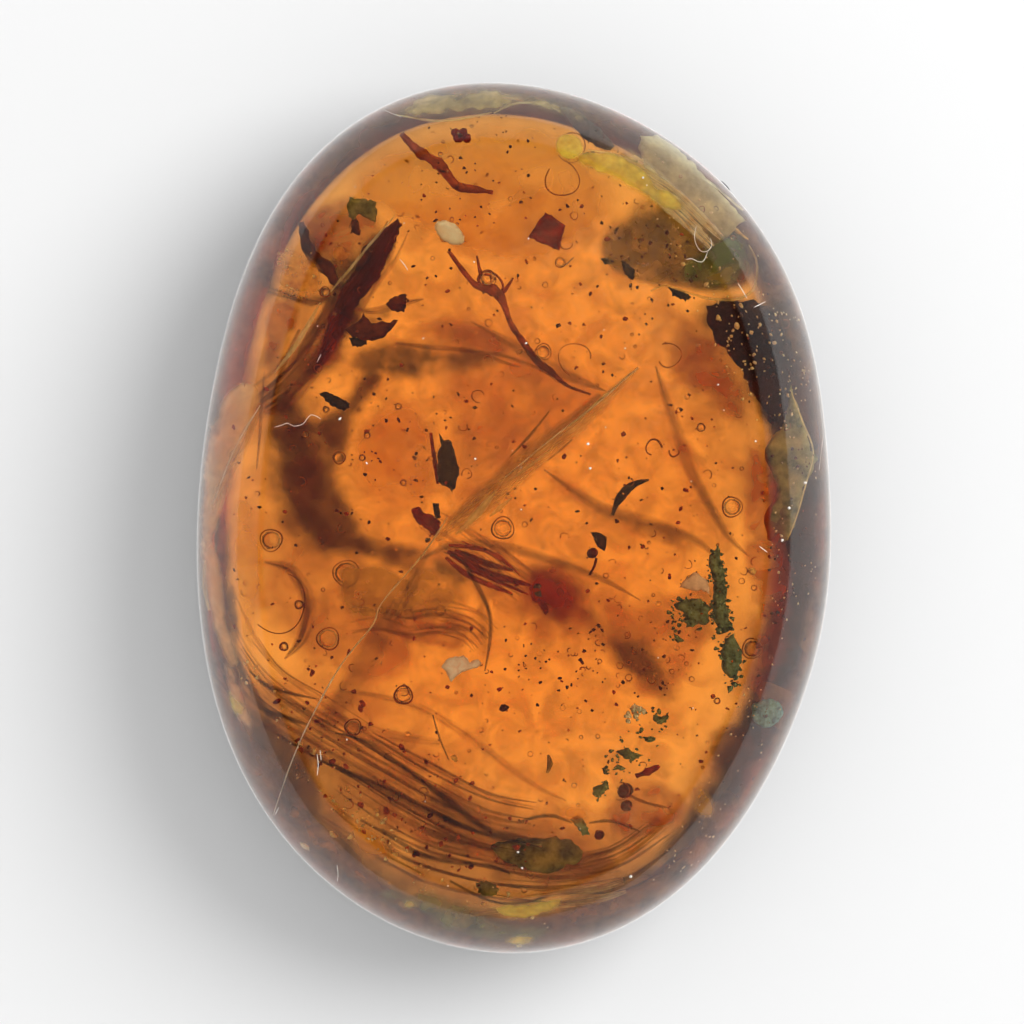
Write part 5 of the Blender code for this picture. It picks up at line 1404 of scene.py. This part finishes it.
FLOWS = (
    # piece, finish, lift, bank, paths of (pixel, pixel, half width)
    ("flow_hatch_red", "flow_rust", 0.05, 0.2, hatch(FLOOR_BEND, 28, 30, 3.2, 61)),
    ("flow_hatch_dark", "flow_red", 0.15, 0.2, hatch(FLOOR_BEND, 30, 12, 1.8, 62)),
    ("flow_hatch_low", "flow_rust", -0.3, 0.2, hatch(LOW_BEND, 26, 20, 3.0, 63)),
    ("flow_hatch_low_dark", "flow_red", -0.2, 0.2, hatch(LOW_BEND, 28, 14, 2.2, 64)),
    # Painted golden glint streaks over the straw sheet
    ("gold_hatch", "crack_and_glint_band", 3.4, 0.1,
     hatch([(586, 160), (616, 166), (646, 182), (674, 204), (702, 230), (716, 244)], 12, 22, 3.2, 65)),
    ("leaf_hatch", "flow_rust", 0.0, 0.2,
     hatch([(396, 226), (382, 254), (364, 280), (346, 306), (328, 334), (308, 362), (284, 388), (262, 404)],
           18, 30, 4.0, 66)),
    ("lobe_hatch", "flow_rust", 1.0, 0.1,
     hatch([(350, 616), (380, 612), (410, 620), (440, 616), (470, 624), (486, 640)], 18, 22, 2.4, 68)),
    ("fibre_hatch", "flow_rust", 0.35, 0.1,
     hatch([(424, 518), (446, 532), (466, 544), (486, 556), (506, 570), (528, 586)], 17, 24, 2.6, 69)),
    # Painted golden glint streaks along the bottom rim
    ("rim_gold_hatch", "crack_and_glint_band", 2.6, 0.1,
     hatch([(470, 908), (500, 904), (530, 900), (566, 896), (600, 890), (624, 884)], 8, 18, 3.0, 70)),
    ("flow_line_upper", "flow_dark", 0.3, 0.25,
     [[(209, 590, 0.6), (222, 628, 2.4), (240, 664, 4.0), (264, 706, 5.0), (290, 718, 4.0), (310, 724, 0.8)],
      [(250, 670, 0.6), (266, 684, 3.0), (289, 692, 3.0), (317, 698, 0.6)],
      [(336, 732, 0.6), (363, 739, 3.4), (393, 759, 4.0), (426, 782, 4.4), (459, 808, 4.4), (495, 832, 3.0),
       (542, 838, 0.6)],
      [(318, 758, 0.6), (350, 772, 3.4), (380, 785, 4.0), (433, 812, 4.4), (472, 828, 3.4), (542, 846, 0.6)]]),
    ("flow_line_lower", "flow_dark", -0.2, 0.2,
     [[(361, 819, 1.8), (394, 837, 2.6), (421, 853, 3.4), (455, 861, 3.2), (492, 865, 2.4), (510, 873, 1.2)],
      [(450, 880, 1.4), (491, 900, 2.0), (527, 902, 2.2), (556, 893, 2.0), (613, 892, 1.0)],
      [(517, 822, 1.2), (536, 816, 2.6), (554, 815, 2.4), (572, 822, 1.2)],
      [(589, 822, 1.2), (613, 820, 2.2), (640, 831, 1.0)],
      [(433, 714, 0.8), (440, 738, 1.4), (449, 759, 0.8)],
      [(617, 787, 1.2), (640, 800, 2.2), (668, 807, 1.0)]]),
    ("flow_stain", "flow_rust", -0.8, 0.3,
     [[(230, 640, 7), (262, 690, 9), (310, 722, 9), (360, 750, 8), (420, 786, 9), (490, 826, 7)],
      [(280, 700, 6), (330, 716, 7), (390, 734, 6), (440, 742, 4)],
      [(340, 690, 1), (380, 696, 4), (430, 712, 5), (480, 744, 5), (530, 782, 4), (566, 800, 1)]]),
    ("lobe_edge", "flow_dark", 0.9, 0.1,
     [[(444, 552, 1.0), (462, 560, 2.4), (480, 590, 3.2), (490, 614, 2.6), (490, 640, 2.2), (485, 670, 0.9)]]),
    ("lens_edge", "flow_red", 0.2, 0.1,
     [[(396, 344, 2.0), (430, 348, 3.0), (470, 352, 3.4), (500, 362, 2.6), (520, 368, 1.0)],
      [(460, 352, 2.0), (500, 356, 3.0), (535, 368, 2.0), (560, 384, 1.0)]]),
    ("side_line_left", "flow_red", 3.0, 0.0,
     [[(266, 372, 0.6), (263, 410, 2.0), (260, 452, 1.8), (258, 470, 0.5)]]),
    ("thumb_line", "flow_red", 1.2, 0.15,
     [[(266, 562, 1.2), (290, 568, 6.5), (306, 591, 9), (309, 616, 9), (302, 640, 7), (286, 658, 1.2)],
      [(272, 564, 0.6), (294, 572, 2.6), (306, 594, 3.4), (307, 618, 3.4), (299, 642, 2.6), (288, 654, 0.6)]]),
    ("leaf_strands", "flow_red", 0.1, 0.2,
     [[(304, 226, 2), (318, 254, 4), (336, 280, 4), (330, 312, 3), (306, 350, 2)],
      [(396, 240, 2), (380, 270, 5), (356, 300, 6), (338, 336, 5), (312, 372, 2)],
      [(268, 292, 2), (296, 300, 4), (322, 304, 2)],
      [(300, 330, 2), (284, 366, 3), (272, 400, 1.5)]]),
    ("plane_lines_right", "smoke_band", 0.6, 0.3,
     [[(655, 367, 1), (664, 396, 5), (674, 424, 7), (688, 467, 7), (708, 504, 6), (728, 537, 4), (748, 556, 1)],
      [(544, 470, 1), (587, 500, 6), (614, 514, 8), (661, 527, 8), (701, 544, 5), (714, 558, 1)]]),
    ("smoke_wisps", "smoke_band", 0.4, 0.4,
     [[(470, 322, 0.5), (510, 344, 6), (550, 368, 8), (590, 386, 4), (606, 392, 0.5)],
      [(420, 560, 0.5), (450, 546, 5), (500, 546, 6), (550, 560, 6), (600, 578, 4), (640, 600, 0.5)]]),
    ("scrap_needles", "flow_red", 0.2, 0.2,
     [[(398, 222, 0.6), (388, 252, 8), (368, 285, 12), (346, 310, 12), (332, 331, 8), (322, 356, 1)],
      [(299, 220, 0.6), (309, 252, 4.4), (329, 271, 5), (342, 294, 1)],
      [(269, 288, 0.6), (289, 295, 4), (312, 304, 5), (332, 296, 1)],
      [(344, 306, 1), (372, 312, 4), (398, 306, 5), (424, 300, 1)],
      [(330, 300, 1), (316, 330, 7), (300, 358, 8), (280, 384, 5), (262, 400, 1)]]),
    # Main crack face, golden with a painted glint
    ("crack_main", "crack_and_glint_band", 3.6, 0.4,
     [[(637, 369, 2), (615, 390, 5), (596, 408, 8), (580, 424, 9), (563, 437, 10), (548, 449, 10), (533, 461, 11),
       (512, 480, 12), (492, 497, 13), (478, 508, 13), (467, 518, 12), (452, 528, 10), (437, 538, 4)]]),
    ("crack_main_dark", "smoke_band", 1.3, 0.6,
     [[(600, 396, 4), (563, 428, 8), (520, 460, 10), (480, 500, 12), (450, 524, 6)]]),
    # Painted glints along the main crack
    ("crack_glint", "pale_line_and_glint", 4.4, 0.2,
     [[(497, 490, 1), (486, 504, 4.4), (470, 522, 4.4), (456, 534, 1)],
      [(512, 498, 1), (500, 508, 3.0), (490, 516, 1)],
      [(630, 374, 0.8), (600, 400, 1.6), (568, 428, 1.2)], [(560, 442, 0.7), (530, 466, 1.8), (508, 482, 0.7)]]),
    ("crack_slivers", "flow_dark", 2.1, 0.1,
     [[(510, 457, 0.8), (528, 438, 2.0), (549, 412, 0.8)], [(547, 461, 0.7), (561, 450, 1.2), (572, 440, 0.7)]]),
    ("needle_golden", "pale_line_and_glint", 4.2, 0.1,
     [[(396, 218, 0.5), (384, 232, 1.6), (370, 248, 2.0), (352, 270, 2.0), (340, 284, 1.8), (332, 294, 0.6)],
      [(322, 304, 0.8), (310, 326, 3.0), (298, 346, 3.4), (286, 362, 2.4), (276, 374, 0.8)]]),
    # Painted golden glint streaks on the left fracture
    ("wedge_streaks", "crack_and_glint_band", 2.0, 0.2,
     [[(262, 406, 2), (246, 444, 5), (228, 478, 5), (214, 506, 2)],
      [(206, 560, 2), (205, 585, 3), (210, 610, 2)]]),
    # Painted glints along the edges of the green lens and of the sheets
    ("green_lens_edge", "pale_line_and_glint", 0.6, 0.05,
     [[(650, 292, 1.0), (665, 286, 1.6), (676, 290, 1.6), (705, 299, 1.8), (725, 301, 1.8), (740, 299, 1.8),
       (752, 291, 1.8), (756, 276, 1.8), (755, 260, 1.6), (748, 246, 1.0)]]),
    ("sheet_edge", "pale_line_and_glint", 1.2, 0.05,
     [[(396, 116, 1.0), (430, 122, 1.8), (460, 121, 1.6), (492, 114, 1.0)],
      [(494, 115, 1.0), (512, 106, 1.8), (531, 104, 1.8), (548, 107, 1.6), (560, 113, 1.0)],
      [(702, 179, 1.0), (720, 192, 1.6), (742, 212, 1.2)],
      [(789, 390, 0.8), (802, 424, 1.4), (812, 452, 1.4), (804, 486, 1.4), (794, 520, 1.2), (786, 540, 0.8)]]),
    # Painted golden glint at the top rim
    ("top_streak_gold", "crack_and_glint_band", 2.4, 0.1, [[(502, 99, 1.0), (512, 100, 2.6), (523, 103, 1.0)]]),
)


SMALL_BUBBLE_LINE = 0.8

BUBBLES = (
    # pixel, radius in pixels, lift, share of the round, outline half width
    (272, 540, 11, 0.8, 1.0, 1.1), (503, 528, 11, 2.2, 1.0, 1.4), (347, 573, 13, 0.9, 1.0, 1.1),
    (329, 638, 11, 0.8, 1.0, 1.3), (404, 694, 9, 1.0, 1.0, 1.8), (354, 726, 8, 0.6, 1.0, 1.6),
    (570, 149, 15, 1.0, 0.7, 0.9), (562, 181, 17, 1.2, 0.8, 1.1), (574, 360, 16, 1.4, 0.7, 0.9),
    (543, 353, 8, 1.2, 1.0, 0.9), (731, 507, 10, 1.0, 1.0, 1.3), (668, 356, 12, 1.0, 0.75, 1.1),
    (653, 448, 8, 1.3, 0.7, 1.8), (673, 452, 5, 1.2, 0.6, 1.4), (326, 293, 5, 1.5, 1.0, 1.4),
    (340, 458, 6, 0.8, 1.0, 1.2), (478, 397, 6, 1.0, 0.8, 1.0), (467, 474, 5, 1.0, 0.8, 1.0),
    (751, 648, 10, 1.0, 1.0, 1.1), (277, 602, 30, 0.6, 0.55, 0.9), (488, 280, 8, 2.0, 1.0, 1.0),
    (300, 604, 4, 1.0, 1.0, 1.6), (285, 646, 4, 1.0, 1.0, 1.6), (399, 407, 3, 1.5, 1.0, 1.0),
    (327, 410, 3, 1.5, 1.0, 1.0), (307, 435, 3, 1.5, 1.0, 1.0), (368, 436, 3, 1.5, 1.0, 1.0),
    (363, 458, 3, 1.5, 1.0, 1.0), (404, 483, 3, 1.5, 1.0, 1.0), (700, 428, 4, 1.0, 1.0, 1.0),
    (716, 700, 3, 1.0, 1.0, 1.0), (441, 610, 5, 1.0, 1.0, 1.0), (566, 245, 6, 1.0, 0.7, 0.9),
    (560, 264, 5, 1.0, 1.0, 0.9), (404, 690, 5, 1.2, 0.5, 1.2), (620, 790, 9, 0.6, 0.6, 1.0),
)


def make_bubbles():
    """Bubble outlines of painted shade for each bubble's dark rim, and small round voids that catch the light."""
    rings = {SMALL_BUBBLE_LINE: []}
    for *ring, thick in BUBBLES:
        rings.setdefault(thick, []).append(ring)
    chance = random.Random(71)
    small = scattered(STONE_FIELD, 190, (1.4, 4.6), (-2, 3), 72)
    small += scattered([(560, 620), (700, 620), (700, 700), (560, 700)], 22, (1.8, 4.0), (0, 3), 73)
    for grain in small:
        rings[SMALL_BUBBLE_LINE].append((*grain, chance.choice((0.45, 0.6, 1.0))))
    for number, (thick, group) in enumerate(sorted(rings.items())):
        around = 14 if thick == SMALL_BUBBLE_LINE else 36
        add_rings("bubble_shade_rings_%d" % number, group, FIN["ring"], thick * 0.65, 5, around)
    voids = scattered(STONE_FIELD, 150, (0.9, 3.0), (-1, 3), 74)
    voids += [(x, y, radius * 0.8, lift) for x, y, radius, lift, share, _ in BUBBLES
              if radius < 14 and share == 1.0]
    add_grains("bubble_voids", voids, FIN["void"], detail=2, uneven=0.0, flat=0.45)


def make_dust():
    """Fibres, dashes and sparks of dust on the polish, and the cracks just under it, painted pale as their
    reflection.
    """
    add_surface_threads("dust_threads", [
        [(277, 428), (284, 426), (290, 424), (296, 427), (305, 425), (309, 420), (313, 416), (318, 417),
         (323, 420)],
        [(695, 228), (693, 237), (694, 245), (697, 251), (701, 254), (706, 253), (710, 248), (709, 240)],
        [(684, 262), (690, 261), (697, 264), (702, 263), (706, 254)],
        [(384, 111), (392, 115), (402, 119)], [(401, 262), (406, 268), (409, 273)],
        [(319, 364), (321, 360), (323, 356)]], FIN["dust"], 0.011)
    add_surface_threads("dust_dashes", [
        [(319, 752), (320, 762), (319, 773)], [(322, 748), (323, 758)], [(338, 863), (339, 872), (338, 880)],
        [(736, 285), (741, 293), (745, 300)], [(752, 309), (764, 303)], [(757, 546), (761, 549), (765, 552)],
        [(280, 806), (276, 814)]], FIN["dust"], 0.016)
    add_surface_threads("dust_dark", [[(560, 271), (567, 266), (573, 260)], [(721, 182), (726, 187), (729, 191)]],
                        FIN["charcoal"], 0.02)
    sparks = [(342, 420, 1.6, 0), (518, 849, 1.4, 0), (522, 865, 1.2, 0), (630, 874, 1.6, 0), (587, 445, 1.6, 0),
              (589, 469, 1.4, 0), (803, 483, 1.8, 0), (787, 508, 1.8, 0), (780, 540, 1.6, 0), (642, 180, 1.4, 0)]
    sparks += scattered(STONE_FIELD, 26, (0.6, 1.2), (0, 0), 81)
    add_grains("dust_sparks", sparks, FIN["dust"], detail=1, uneven=0.3, flat=0.5, on_top=True)
    # Hairline cracks, painted pale for the light they reflect
    cracks = [[(448, 517, 0.5), (437, 535, 0.9), (430, 545, 0.9), (419, 560, 0.8), (383, 602, 0.7),
               (374, 624, 0.7), (343, 663, 0.7), (312, 718, 0.7), (292, 763, 0.6), (274, 814, 0.4)],
              [(637, 369, 0.4), (596, 405, 0.7), (548, 442, 0.7), (505, 478, 0.5)],
              [(818, 380, 0.4), (822, 430, 0.6), (818, 470, 0.4)],
              [(262, 406, 0.4), (236, 450, 0.6), (214, 505, 0.4)]]
    add_stems("crack_hairline", cracks, FIN["crack"], lift=4.0, sides=5, step=6.0, knots=0.4)
    add_stems("rim_line_dark", [[(815, 415, 0.6), (819, 440, 0.9), (817, 463, 0.5)]], FIN["charcoal"],
              lift=2.0, sides=5)


# Where the painted rim shade begins: share of the round, from the right, turning towards the top, each 30 degrees
RIM_SHADE_STARTS = (0.79, 0.83, 0.88, 0.90, 0.88, 0.85, 0.85, 0.86, 0.84, 0.85, 0.86, 0.80)


def rim_shade_start(angle):
    """Share of the round at which the painted rim shade begins in one direction."""
    turn = angle / math.tau * len(RIM_SHADE_STARTS) % len(RIM_SHADE_STARTS)
    near = int(turn)
    share = turn - near
    share = share * share * (3 - 2 * share)
    return RIM_SHADE_STARTS[near] * (1 - share) + RIM_SHADE_STARTS[(near + 1) % len(RIM_SHADE_STARTS)] * share


def make_rim_shade():
    """Painted shade round the rim: a browned band under the polish, growing denser towards the outline."""
    around, across = 150, 10
    outer_share, fade = 0.992, 0.08
    data = bmesh.new()
    depth = data.verts.layers.float.new("edge")
    rings = []
    for j in range(across + 1):
        ring = []
        for k in range(around):
            angle = math.tau * k / around
            start = rim_shade_start(angle)
            share = start + (outer_share - start) * j / across
            radius = outline_radius(angle) * share
            x = PHOTO_CENTRE[0] + (HEART.x + radius * math.cos(angle)) / PIXEL
            y = PHOTO_CENTRE[1] - (HEART.y + radius * math.sin(angle)) / PIXEL
            vert = data.verts.new(sunk(x, y, -0.5))
            vert[depth] = (share - start) / fade
            ring.append(vert)
        rings.append(ring)
    bridge(data, rings, closed=True)
    new_piece("rim_painted_shade", data, FIN["rim_shade_film"])


def make_clouds():
    """Smoky clouds, coloured washes, thin skins and flow bands, among them painted shadow, painted rim shade,
    painted glints and painted sheen.
    """
    for seed, (name, finish, lift, fade, step, outline) in enumerate(CLOUDS, start=101):
        add_film(name, outline, FIN[finish], lift, fade * FADE_SHARE, step, step * EDGE_FRAYING, seed)
    for name, finish, lift, bank, paths in FLOWS:
        add_band(name, paths, FIN[finish], lift, bank)


make_studio()
make_pebble()
make_rim_shade()
make_clouds()
make_twigs()
make_scraps()
make_grown_grains()
make_specks()
make_bubbles()
make_dust()
